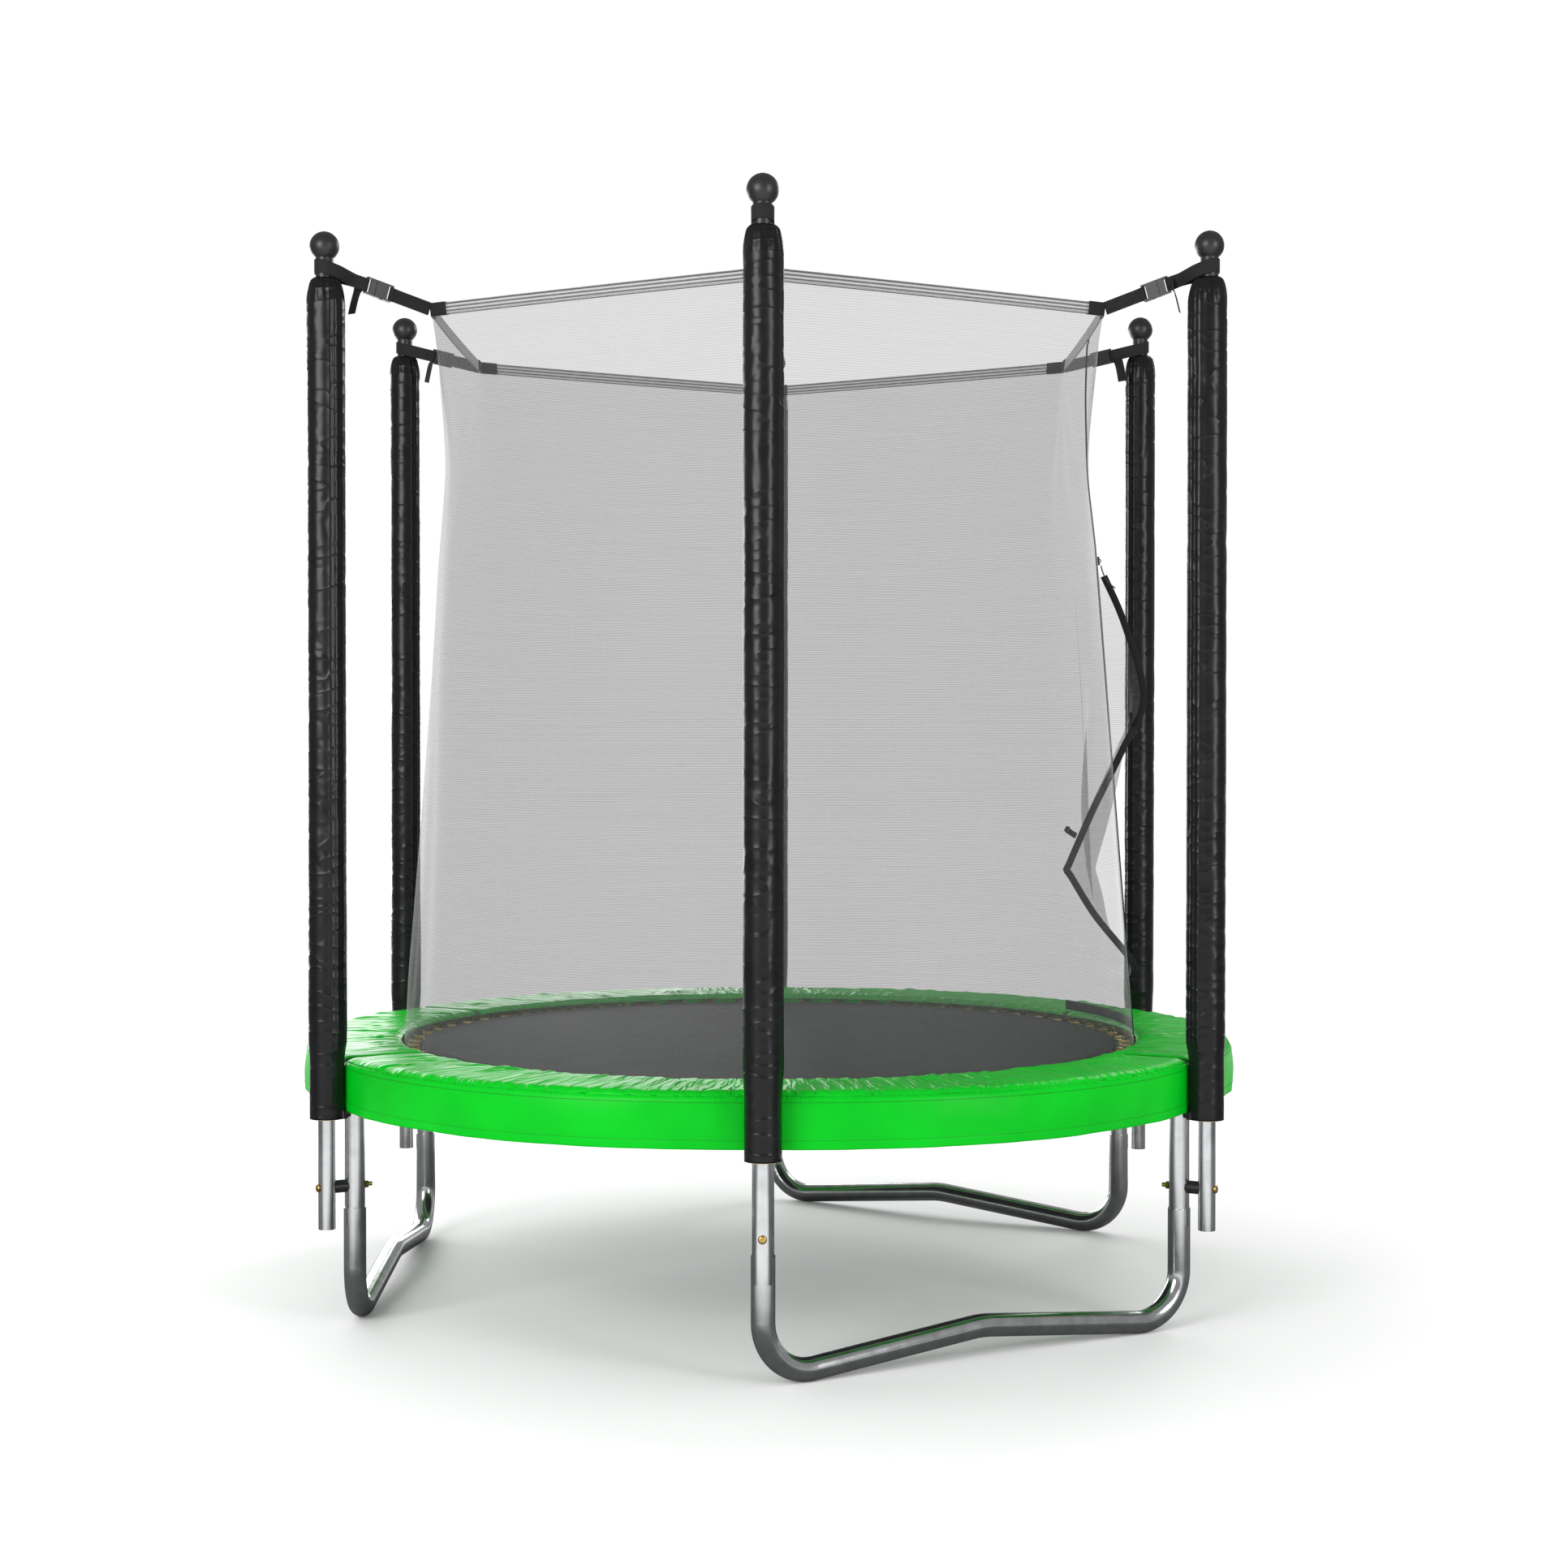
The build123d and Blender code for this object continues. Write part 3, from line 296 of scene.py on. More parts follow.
def dust_group():
    """Dust that settles on faces that look up."""
    tree, start, end = shader_group("Settled Dust", [("Amount", FLOAT, 0.3)], ["Mask"])
    normal = add(tree, "ShaderNodeNewGeometry").outputs["Normal"]
    up = parts(tree, normal)[2]
    noise = add(tree, "ShaderNodeTexNoise", None, {
        "Vector": start.outputs["Vector"], "Scale": 14.0, "Detail": 4.0})
    facing = maths(tree, "POWER", maths(tree, "MAXIMUM", up, 0.0), 3.0)
    cover = times(tree, facing, noise.outputs["Fac"])
    tree.links.new(times(tree, cover, start.outputs["Amount"], clamp=True), end.inputs["Mask"])
    return tree


EFFECTS = {
    "Mottle": mottle_group, "Plain Weave": weave_group, "Fine Grain": grain_group,
    "Crinkle": crinkle_group, "Settled Dust": dust_group,
}


def effect(tree, name, vector, **inputs):
    """Effect group placed in a material; underscores in an input's name stand for spaces."""
    group = bpy.data.node_groups.get(name) or EFFECTS[name]()
    node = add(tree, "ShaderNodeGroup", {"node_tree": group}, {"Vector": vector})
    for key, value in inputs.items():
        node.inputs[key.replace("_", " ")].default_value = value
    return node


def place(tree, source="Object", scale=(1.0, 1.0, 1.0)):
    """Texture coordinates, stretched by a scale."""
    coordinates = add(tree, "ShaderNodeTexCoord").outputs[source]
    return add(tree, "ShaderNodeMapping", None, {"Vector": coordinates, "Scale": scale}).outputs[0]


def spread(tree, value, low, high):
    """Number between a low and a high one, for a value from 0 to 1."""
    return times_plus(tree, value, high - low, low)


def shades(tree, value, dark, light, low=0.3, high=0.7):
    """Colour between a dark and a light one."""
    ramp = add(tree, "ShaderNodeValToRGB", None, {0: value})
    ramp.color_ramp.elements[0].position = low
    ramp.color_ramp.elements[1].position = high
    ramp.color_ramp.elements[0].color = (*dark, 1.0)
    ramp.color_ramp.elements[1].color = (*light, 1.0)
    return ramp.outputs[0]


def relief(tree, height, distance, strength=1.0, normal=None):
    """Normal bent by a height in metres."""
    inputs = {"Height": height, "Distance": distance, "Strength": strength}
    if normal is not None:
        inputs["Normal"] = normal
    return add(tree, "ShaderNodeBump", None, inputs).outputs[0]


def darker(colour, share):
    """Colour multiplied by a share."""
    return tuple(min(1.0, channel * share) for channel in colour)


def tinted(tree, value, colour, dark, light, *ends):
    """One colour between a darker and a lighter share of itself."""
    return shades(tree, value, darker(colour, dark), darker(colour, light), *ends)


def mottle(tree, vector, scale, detail):
    """Soft uneven patches of a size, as a value around one half."""
    return effect(tree, "Mottle", vector, Scale=scale, Detail=detail).outputs["Value"]


def new_material(name, **settings):
    """Material with its tree and shader; a setting's underscores stand for spaces."""
    material = bpy.data.materials.new(name)
    material.use_nodes = True
    shader = material.node_tree.nodes["Principled BSDF"]
    for key, value in settings.items():
        shader.inputs[key.replace("_", " ")].default_value = value
    return material, material.node_tree, shader


def dress(tree, shader, **sockets):
    """Links what varies over the surface to the shader."""
    for key, socket in sockets.items():
        tree.links.new(socket, shader.inputs[key.replace("_", " ")])


# ---------------------------------------------------------------------------- finishes
def metal_finish(name, colour, rough, streak):
    """Plated metal with faint mottling, fine draw lines and a little dust."""
    material, tree, shader = new_material(name, Metallic=1.0)
    where = place(tree)
    patches = mottle(tree, where, 38.0, 4.0)
    lines = mottle(tree, place(tree, scale=(1.0, 1.0, streak)), 260.0, 2.0)
    dust = effect(tree, "Settled Dust", where, Amount=0.35).outputs["Mask"]
    wear = plus(tree, times(tree, patches, rough * 0.8), rough * 0.6)
    dress(tree, shader,
          Base_Color=tinted(tree, patches, colour, 0.86, 1.06),
          Roughness=plus(tree, wear, times(tree, dust, 0.4)),
          Normal=relief(tree, lines, 0.00004, 0.15))
    return material


def plastic_finish(colour):
    """Moulded plastic with a fine grain."""
    material, tree, shader = new_material("black_plastic", Specular_IOR_Level=0.5)
    where = place(tree)
    patches = mottle(tree, where, 30.0, 3.0)
    grain = effect(tree, "Fine Grain", where, Scale=1300.0).outputs["Height"]
    dust = effect(tree, "Settled Dust", where, Amount=0.12).outputs["Mask"]
    rough = plus(tree, spread(tree, patches, 0.30, 0.44), dust)
    dress(tree, shader,
          Base_Color=tinted(tree, patches, colour, 0.8, 1.25),
          Roughness=rough, Normal=relief(tree, grain, 0.00015, 0.5))
    return material


def sleeve_finish(colour):
    """Satin coated cloth with fine crinkles round the pole."""
    material, tree, shader = new_material("sleeve_vinyl", Specular_IOR_Level=0.28)
    where = place(tree)
    crinkle = effect(tree, "Crinkle", place(tree, scale=(1.0, 1.0, 2.3)), Scale=14.0, Sharpness=8.0,
                     Detail=0.8)
    swell = effect(tree, "Crinkle", place(tree, scale=(0.5, 0.5, 1.6)), Scale=9.0,
                   Sharpness=2.0, Detail=0.0)
    grain = effect(tree, "Fine Grain", where, Scale=900.0).outputs["Height"]
    patches = mottle(tree, where, 14.0, 1.0)
    creased = relief(tree, crinkle.outputs["Height"], 0.0013, 0.6)
    creased = relief(tree, swell.outputs["Height"], 0.0016, 0.4, creased)
    dress(tree, shader,
          Base_Color=tinted(tree, patches, colour, 0.85, 1.2),
          Roughness=spread(tree, patches, 0.24, 0.33),
          Normal=relief(tree, grain, 0.00001, 0.1, creased))
    return material


def foam_finish(colour):
    """Closed-cell foam."""
    material, tree, shader = new_material("foam", Specular_IOR_Level=0.2)
    where = place(tree)
    cells = effect(tree, "Fine Grain", where, Scale=420.0).outputs["Height"]
    patches = mottle(tree, where, 40.0, 4.0)
    dress(tree, shader,
          Base_Color=tinted(tree, patches, colour, 0.85, 1.1),
          Roughness=spread(tree, patches, 0.75, 0.95), Normal=relief(tree, cells, 0.0006, 0.8))
    return material


def webbing_finish(name, colour, across=700.0, along=260.0):
    """Ribbed webbing, painted darker between its threads and lighter on their tops; its UV map is in metres
    along and across.
    """
    material, tree, shader = new_material(
        name, Specular_IOR_Level=0.3, Sheen_Weight=0.05, Sheen_Roughness=0.5)
    cloth = place(tree, "UV")
    weave = effect(tree, "Plain Weave", cloth, Threads_Across=across, Threads_Along=along)
    patches = mottle(tree, place(tree), 60.0, 4.0)
    # Painted shade and highlight: the colour is darker where the weave lies low and lighter on the threads'
    # tops.
    dress(tree, shader,
          Base_Color=tinted(tree, weave.outputs["Height"], colour, 0.7, 1.6),
          Roughness=spread(tree, patches, 0.62, 0.85),
          Normal=relief(tree, weave.outputs["Height"], 0.0004, 0.8))
    return material


def mat_finish(colour):
    """Tightly woven jumping cloth, straight across the whole mat."""
    material, tree, shader = new_material("mat_fabric", Specular_IOR_Level=0.2)
    where = place(tree)
    weave = effect(tree, "Plain Weave", where, Threads_Across=420.0, Threads_Along=420.0)
    rows = mottle(tree, place(tree, scale=(1.0, 60.0, 1.0)), 6.0, 3.0)
    patches = mottle(tree, where, 3.5, 4.0)
    dust = effect(tree, "Settled Dust", where, Amount=0.10).outputs["Mask"]
    # Painted shade: part of the tone is darker where the weave lies low; the rest is random rows and patches.
    tone = times_plus(tree, rows, 0.45,
                      times_plus(tree, weave.outputs["Height"], 0.3,
                                 times(tree, patches, 0.25)))
    dress(tree, shader,
          Base_Color=tinted(tree, tone, colour, 0.72, 1.3),
          Roughness=plus(tree, spread(tree, patches, 0.62, 0.74), dust),
          Normal=relief(tree, weave.outputs["Height"], 0.0004, 0.7))
    return material


def pad_finish(colour):
    """Glossy coated cloth with soft creases that run out from the middle, and painted shade at each panel's
    ends.
    """
    material, tree, shader = new_material("pad_vinyl", Specular_IOR_Level=0.1)
    where = place(tree)
    cloth = add(tree, "ShaderNodeMapping", None, {
        "Vector": place(tree, "UV"), "Rotation": (0.0, 0.0, 0.45), "Scale": (1.0, 0.16, 1.0)}).outputs[0]
    upward = parts(tree, add(tree, "ShaderNodeNewGeometry").outputs["Normal"])[2]
    flat = times_plus(tree, upward, 1.6, -0.5, clamp=True)
    crinkle = effect(tree, "Crinkle", cloth, Scale=34.0, Sharpness=9.0).outputs["Height"]
    crinkle = times(tree, crinkle, flat)
    fine = effect(tree, "Crinkle", where, Scale=60.0, Sharpness=3.0).outputs["Height"]
    threads = effect(tree, "Plain Weave", place(tree, "UV"), Threads_Across=900.0, Threads_Along=900.0)
    patches = mottle(tree, where, 5.0, 3.0)
    creased = relief(tree, crinkle, 0.0032, 1.0)
    creased = relief(tree, fine, 0.00020, 0.35, creased)
    # Painted shade: near each pole the colour turns dark, standing in for the shade in the groove between two
    # panels; the groove itself is also a dip in the mesh.
    spot = parts(tree, where)
    turn = maths(tree, "ARCTAN2", spot[0], times(tree, spot[1], -1.0))
    panel = maths(tree, "FRACT", times_plus(tree, turn, STATIONS / (2 * math.pi), 6.5))
    aside = maths(tree, "ABSOLUTE", minus(tree, panel, 0.5))
    groove_shade = times_plus(tree, aside, -250.0, 3.2, clamp=True)
    green = tinted(tree, patches, colour, 0.88, 1.12)
    seam = add(tree, "ShaderNodeMix", {"data_type": "RGBA"}, {0: groove_shade, 6: green})
    seam.inputs[7].default_value = (*darker(colour, 0.18), 1.0)
    dress(tree, shader,
          Base_Color=seam.outputs[2],
          Roughness=spread(tree, patches, 0.30, 0.42),
          Normal=relief(tree, threads.outputs["Height"], 0.00005, 0.3, creased))
    return material


def net_finish(colour):
    """Fine knitted net: see-through, with rows of thicker threads."""
    material, tree, shader = new_material("net_mesh", Sheen_Weight=0.55, Sheen_Roughness=0.25)
    rows = mottle(tree, place(tree, "UV", (2.2, 120.0, 1.0)), 1.0, 3.0)
    slubs = mottle(tree, place(tree, "UV", (30.0, 300.0, 1.0)), 1.0, 2.0)
    cells = effect(tree, "Plain Weave", place(tree, "UV"), Threads_Across=330.0, Threads_Along=330.0)
    tone = times_plus(tree, rows, 0.5,
                      times(tree, slubs, 0.5))
    height = parts(tree, place(tree, "UV"))[1]
    courses = maths(tree, "SINE", times_plus(tree, height, 2 * math.pi / 0.0046,
                                             times(tree, rows, 2.5)))
    density = times_plus(tree, courses, 0.05, spread(tree, tone, 0.345, 0.475))
    density = times_plus(tree, cells.outputs["Gap"], -0.16, density)
    dress(tree, shader,
          Base_Color=tinted(tree, tone, colour, 0.88, 1.14),
          Roughness=spread(tree, tone, 0.6, 0.8), Alpha=density)
    return material


def hem_finish(colour):
    """Light tape with three darker woven stripes; the UV map's second number runs over its height."""
    material, tree, shader = new_material("hem_tape", Sheen_Weight=0.2)
    height = parts(tree, place(tree, "UV"))[1]
    stripe = maths(tree, "COSINE", times(tree, height, 2 * math.pi / 0.0068))
    weave = effect(tree, "Plain Weave", place(tree, "UV"), Threads_Across=420.0, Threads_Along=700.0)
    slubs = mottle(tree, place(tree, "UV", (60.0, 500.0, 1.0)), 1.0, 2.0)
    mark = times_plus(tree, stripe, 0.5, 0.5)
    mark = times(tree, mark, spread(tree, slubs, 0.6, 1.4), clamp=True)
    dress(tree, shader,
          Base_Color=tinted(tree, mark, colour, 1.4, 0.30, 0.35, 0.75),
          Roughness=spread(tree, slubs, 0.6, 0.85),
          Alpha=spread(tree, mark, 0.62, 0.92),
          Normal=relief(tree, weave.outputs["Height"], 0.0003, 0.7))
    return material


def thread_finish(colour):
    """Sewing thread."""
    material, tree, shader = new_material("sewing_thread")
    twist = mottle(tree, place(tree), 900.0, 1.0)
    dress(tree, shader,
          Base_Color=tinted(tree, twist, colour, 0.6, 1.5),
          Roughness=spread(tree, twist, 0.55, 0.8), Normal=relief(tree, twist, 0.0002, 0.5))
    return material


def finishes():
    """Every finish, made once."""
    if "steel" not in FINISHES:
        colours = bpy.context.scene.trampoline_colours
        FINISHES.update({
            "steel": metal_finish("galvanised_steel", colours.steel, 0.15, 0.06),
            "zinc": metal_finish("yellow_zinc", colours.zinc, 0.30, 1.0),
            "spring": metal_finish("spring_steel", colours.spring, 0.34, 1.0),
            "plastic": plastic_finish(colours.plastic),
            "sleeve": sleeve_finish(colours.sleeve),
            "foam": foam_finish(colours.foam),
            "webbing": webbing_finish("webbing", colours.webbing),
            "mat": mat_finish(colours.mat),
            "pad": pad_finish(colours.pad),
            "pad_thread": thread_finish(darker(colours.pad, 0.35)),
            "net": net_finish(colours.net),
            "hem": hem_finish(colours.hem),
            "thread": thread_finish(colours.thread),
        })
    return FINISHES


FINISHES = {}


# ------------------------------------------------------------------------ mesh helpers
def polar(angle, radius, height):
    """Point at an angle from the front, in degrees, a distance out and a height."""
    turn = math.radians(angle)
    return Vector((radius * math.sin(turn), -radius * math.cos(turn), height))


def polar_grid(angles, radii, heights):
    """Points of a grid of angles, radii and heights."""
    turns = np.radians(angles)
    grid = np.broadcast_arrays(radii * np.sin(turns), -radii * np.cos(turns), heights)
    return np.stack(grid, axis=-1)


def lay_uv(mesh, uv):
    """UV map from one pair of numbers per point."""
    layer = mesh.uv_layers[0] if mesh.uv_layers else mesh.uv_layers.new(name="UVMap")
    corner_points = np.empty(len(mesh.loops), int)
    mesh.loops.foreach_get("vertex_index", corner_points)
    layer.data.foreach_set("uv", np.asarray(uv, float).reshape(-1, 2)[corner_points].ravel())


def make_mesh(name, points, faces, uv=None):
    """Smooth mesh from points and faces, with a UV map where one is given."""
    mesh = bpy.data.meshes.new(name)
    mesh.from_pydata(np.asarray(points, float).reshape(-1, 3).tolist(), [], faces)
    if uv is not None:
        lay_uv(mesh, uv)
    mesh.polygons.foreach_set("use_smooth", [True] * len(mesh.polygons))
    return mesh


def grid_faces(rows, columns, first=0, flip=False):
    """Quads of a grid of points whose numbers start at first."""
    faces = []
    for i in range(rows - 1):
        for j in range(columns - 1):
            a = first + i * columns + j
            quad = (a, a + 1, a + columns + 1, a + columns)
            faces.append(quad[::-1] if flip else quad)
    return faces


def grid_uv(points):
    """Distances along and up a grid, in metres, from its own rows and columns."""
    across = np.linalg.norm(np.diff(points, axis=1), axis=2).mean(0)
    along = np.linalg.norm(np.diff(points, axis=0), axis=2).mean(1)
    u = np.concatenate(([0.0], np.cumsum(across)))
    v = np.concatenate(([0.0], np.cumsum(along)))
    return np.stack(np.meshgrid(u, v), axis=-1)


def shell_mesh(name, outer, inner, uv=None):
    """Closed cloth between an outer and an inner grid of points."""
    rows, columns = outer.shape[:2]
    count = rows * columns
    faces = grid_faces(rows, columns) + grid_faces(rows, columns, count, flip=True)
    rim = list(range(columns)) + [i * columns + columns - 1 for i in range(1, rows)]
    rim += [(rows - 1) * columns + j for j in range(columns - 2, -1, -1)]
    rim += [i * columns for i in range(rows - 2, 0, -1)]
    for a, b in zip(rim, rim[1:] + rim[:1]):
        faces.append((b, a, a + count, b + count))
    uv = grid_uv(outer) if uv is None else uv
    return make_mesh(name, np.concatenate([outer.reshape(-1, 3), inner.reshape(-1, 3)]), faces,
                     np.concatenate([uv.reshape(-1, 2)] * 2))


def smooth_line(points, step):
    """Points of a Catmull-Rom curve, about a step apart."""
    points = [np.asarray(p, float) for p in points]
    padded = [2 * points[0] - points[1]] + points + [2 * points[-1] - points[-2]]
    line = []
    for a, b, c, d in zip(padded, padded[1:], padded[2:], padded[3:]):
        count = max(2, int(np.linalg.norm((c - b)[:3]) / step))
        for t in np.arange(count) / count:
            line.append(0.5 * (2 * b + (c - a) * t + (2 * a - 5 * b + 4 * c - d) * t ** 2
                               + (3 * b - a - 3 * c + d) * t ** 3))
    return np.array(line + [points[-1]])


def unit(vectors):
    """Vectors of length one."""
    return vectors / np.maximum(np.linalg.norm(vectors, axis=-1, keepdims=True), 1e-9)


def ribbon_mesh(name, path, across, width, thickness, closed=False):
    """Band of webbing along a path, its width along the across vectors."""
    path, across = np.asarray(path, float), np.broadcast_to(np.asarray(across, float), np.shape(path))
    if closed:
        along = unit(np.roll(path, -1, 0) - np.roll(path, 1, 0))
    else:
        along = unit(np.gradient(path, axis=0))
    across = unit(across - along * np.sum(across * along, axis=1, keepdims=True))
    face = np.cross(along, across)
    outline = [(-0.5, -0.3), (-0.44, -0.5), (0.0, -0.5), (0.44, -0.5), (0.5, -0.3),
               (0.5, 0.3), (0.44, 0.5), (0.0, 0.5), (-0.44, 0.5), (-0.5, 0.3)]
    rings = [path + across * (x * width) + face * (y * thickness) for x, y in outline]
    points = np.stack(rings, axis=1)
    rows, columns = points.shape[:2]
    steps = np.linalg.norm(np.diff(path, axis=0), axis=1)
    length = np.concatenate(([0.0], np.cumsum(steps)))
    uv = np.array([[(x * width, s) for x, _ in outline] for s in length])
    faces = []
    for i in range(rows if closed else rows - 1):
        for j in range(columns):
            a, b = i * columns + j, i * columns + (j + 1) % columns
            c, d = (i + 1) % rows * columns + (j + 1) % columns, (i + 1) % rows * columns + j
            faces.append((a, d, c, b))
    if not closed:
        faces.append(tuple(range(columns)))
        faces.append(tuple(range((rows - 1) * columns, rows * columns))[::-1])
    return make_mesh(name, points, faces, uv)


def wire_loop_mesh(name, corners, height, bend, wire, sides=8, per_bend=4):
    """Closed loop of round wire that lies level, with rounded corners."""
    corners = np.array(corners, float)
    path = []
    for before, corner, after in zip(np.roll(corners, 1, axis=0), corners, np.roll(corners, -1, axis=0)):
        back, ahead = unit(before - corner), unit(after - corner)
        half = 0.5 * math.acos(float(back @ ahead))
        centre = corner + unit(back + ahead) * bend / math.sin(half)
        first, last = (corner + way * bend / math.tan(half) - centre for way in (back, ahead))
        for k in np.linspace(0, 1, per_bend + 1):
            path.append(centre + bend * unit(first * (1 - k) + last * k))
    path = np.array(path)
    run = unit(np.roll(path, -1, axis=0) - np.roll(path, 1, axis=0))
    out = np.stack([run[:, 1], -run[:, 0]], axis=1)
    points = []
    for at, way in zip(path, out):
        for turn in np.arange(sides) * 2 * math.pi / sides:
            x, y = at + way * (0.5 * wire * math.cos(turn))
            points.append((x, y, height + 0.5 * wire * math.sin(turn)))
    faces = []
    for i in range(len(path)):
        a, b = i * sides, (i + 1) % len(path) * sides
        faces += [(a + j, b + j, b + (j + 1) % sides, a + (j + 1) % sides) for j in range(sides)]
    return make_mesh(name, points, faces)


def joined(name, meshes):
    """One mesh from several, which are used up."""
    points, faces, uv, first = [], [], [], 0
    for mesh in meshes:
        points += [tuple(v.co) for v in mesh.vertices]
        faces += [tuple(first + i for i in p.vertices) for p in mesh.polygons]
        corner = np.zeros((len(mesh.vertices), 2))
        if mesh.uv_layers:
            for loop, data in zip(mesh.loops, mesh.uv_layers[0].data):
                corner[loop.vertex_index] = data.uv
        uv.append(corner)
        first += len(mesh.vertices)
    whole = make_mesh(name, points, faces, np.concatenate(uv))
    for mesh in meshes:
        bpy.data.meshes.remove(mesh)
    return whole


def turned_copies(mesh, angles):
    """Copies of a mesh modelled at the front, turned to other angles; the mesh itself is used up."""
    copies = []
    for angle in angles:
        copy = mesh.copy()
        copy.transform(Matrix.Rotation(math.radians(angle), 4, "Z"))
        copies.append(copy)
    bpy.data.meshes.remove(mesh)
    return copies


def station_angles():
    """Angles of the six poles."""
    return [i * STEP for i in range(STATIONS)]


def new_object(name, mesh, finish=None):
    """Object at the origin with one finish."""
    obj = bpy.data.objects.new(name, mesh)
    bpy.context.scene.collection.objects.link(obj)
    if finish:
        mesh.materials.clear()
        mesh.materials.append(finishes()[finish])
    return obj


def evaluated_mesh(obj):
    """Mesh of an object with its modifiers applied."""
    depsgraph = bpy.context.evaluated_depsgraph_get()
    return bpy.data.meshes.new_from_object(obj.evaluated_get(depsgraph))


def run_tree(obj, tree, **values):
    """Runs a geometry tree on an object and keeps the plain mesh; underscores stand for spaces."""
    modifier = obj.modifiers.new(tree.name, "NODES")
    modifier.node_group = tree
    identifiers = {item.name: item.identifier for item in tree.interface.items_tree
                   if item.item_type == "SOCKET" and item.in_out == "INPUT"}
    for key, value in values.items():
        modifier[identifiers[key.replace("_", " ")]] = value
    bpy.context.view_layer.update()
    result = evaluated_mesh(obj)
    obj.modifiers.clear()
    obj.data = result
    obj.data.name = obj.name
    return obj


def fix(obj, body, slot, *nodes):
    """The piece rides on a body and stands for CAD nodes, which it hides; the slot is not used."""
    if body:
        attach(obj, body)
    if nodes:
        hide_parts(*nodes)
    return obj


# ---------------------------------------------------------------------- geometry trees
def geometry_tree(name, inputs):
    """Geometry tree with its geometry and named inputs."""
    return new_group("GeometryNodeTree", name, [("Geometry", GEOMETRY, None)] + inputs,
                     [("Geometry", GEOMETRY)])


def finish_tree(tree, geometry, start, end):
    """Ends a tree in real geometry with its material."""
    real = add(tree, "GeometryNodeRealizeInstances", None, {"Geometry": geometry})
    painted = add(tree, "GeometryNodeSetMaterial", None, {
        "Geometry": real.outputs[0], "Material": start.outputs["Material"]})
    tree.links.new(painted.outputs[0], end.inputs[0])
    return tree


def round_tree():
    """Copies of a shape modelled at the front, spread evenly round the vertical axis."""
    tree, start, end = geometry_tree("Round The Mat", [
        ("Count", INTEGER, SPRINGS), ("First Angle", FLOAT, 0.0), ("Material", MATERIAL, None)])
    points = add(tree, "GeometryNodePoints", None, {"Count": start.outputs["Count"]})
    index = add(tree, "GeometryNodeInputIndex").outputs[0]
    step = maths(tree, "DIVIDE", 2 * math.pi, start.outputs["Count"])
    turn = times_plus(tree, index, step, start.outputs["First Angle"])
    rotation = add(tree, "ShaderNodeCombineXYZ", None, {2: turn}).outputs[0]
    copies = add(tree, "GeometryNodeInstanceOnPoints", None, {
        "Points": points.outputs[0], "Instance": start.outputs["Geometry"], "Rotation": rotation})
    return finish_tree(tree, copies.outputs[0], start, end)


def stitch_tree():
    """Stitches laid along the edges of a line, each a short rounded bar."""
    tree, start, end = geometry_tree("Stitch Line", [
        ("Pitch", FLOAT, 0.005), ("Length", FLOAT, 0.0035), ("Thread", FLOAT, 0.0009),
        ("Material", MATERIAL, None)])
    line = add(tree, "GeometryNodeMeshToCurve", None, {0: start.outputs["Geometry"]})
    points = add(tree, "GeometryNodeCurveToPoints", {"mode": "LENGTH"}, {
        "Curve": line.outputs[0], "Length": start.outputs["Pitch"]})
    bar = add(tree, "GeometryNodeMeshCylinder", None, {
        "Vertices": 5, "Radius": times(tree, start.outputs["Thread"], 0.5),
        "Depth": start.outputs["Length"]})
    copies = add(tree, "GeometryNodeInstanceOnPoints", None, {
        "Points": points.outputs["Points"], "Instance": bar.outputs["Mesh"],
        "Rotation": points.outputs["Rotation"]})
    return finish_tree(tree, copies.outputs[0], start, end)


def wire_tree():
    """Round wire bent along a line, with filleted corners, and a coil on its axis where asked."""
    tree, start, end = geometry_tree("Coil And Hooks", [
        ("Wire", FLOAT, 0.003), ("Bend Radius", FLOAT, 0.003), ("Coil Radius", FLOAT, 0.0085),
        ("Turns", FLOAT, 33.0), ("Coil Start", FLOAT, 0.752), ("Coil End", FLOAT, 0.860),
        ("Coil Height", FLOAT, 0.4865), ("Material", MATERIAL, None)])
    line = add(tree, "GeometryNodeMeshToCurve", None, {0: start.outputs["Geometry"]})
    bent = add(tree, "GeometryNodeFilletCurve", {"mode": "POLY"}, {
        "Curve": line.outputs[0], "Radius": start.outputs["Bend Radius"], "Count": 4,
        "Limit Radius": True})
    coil = add(tree, "GeometryNodeCurveSpiral", None, {
        "Resolution": 10, "Rotations": start.outputs["Turns"],
        "Start Radius": start.outputs["Coil Radius"], "End Radius": start.outputs["Coil Radius"],
        "Height": minus(tree, start.outputs["Coil End"], start.outputs["Coil Start"])})
    begin = add(tree, "ShaderNodeCombineXYZ", None, {
        1: times(tree, start.outputs["Coil Start"], -1.0), 2: start.outputs["Coil Height"]})
    laid = add(tree, "GeometryNodeTransform", None, {
        "Geometry": coil.outputs[0], "Translation": begin.outputs[0],
        "Rotation": (math.pi / 2, 0.0, 0.0)})
    both = tree.nodes.new("GeometryNodeJoinGeometry")
    tree.links.new(laid.outputs[0], both.inputs[0])
    tree.links.new(bent.outputs[0], both.inputs[0])
    section = add(tree, "GeometryNodeCurvePrimitiveCircle", None, {
        "Resolution": 6, "Radius": times(tree, start.outputs["Wire"], 0.5)})
    tube = add(tree, "GeometryNodeCurveToMesh", None, {
        "Curve": both.outputs[0], "Profile Curve": section.outputs[0], "Fill Caps": True})
    soft = add(tree, "GeometryNodeSetShadeSmooth", None, {"Geometry": tube.outputs[0]})
    return finish_tree(tree, soft.outputs[0], start, end)


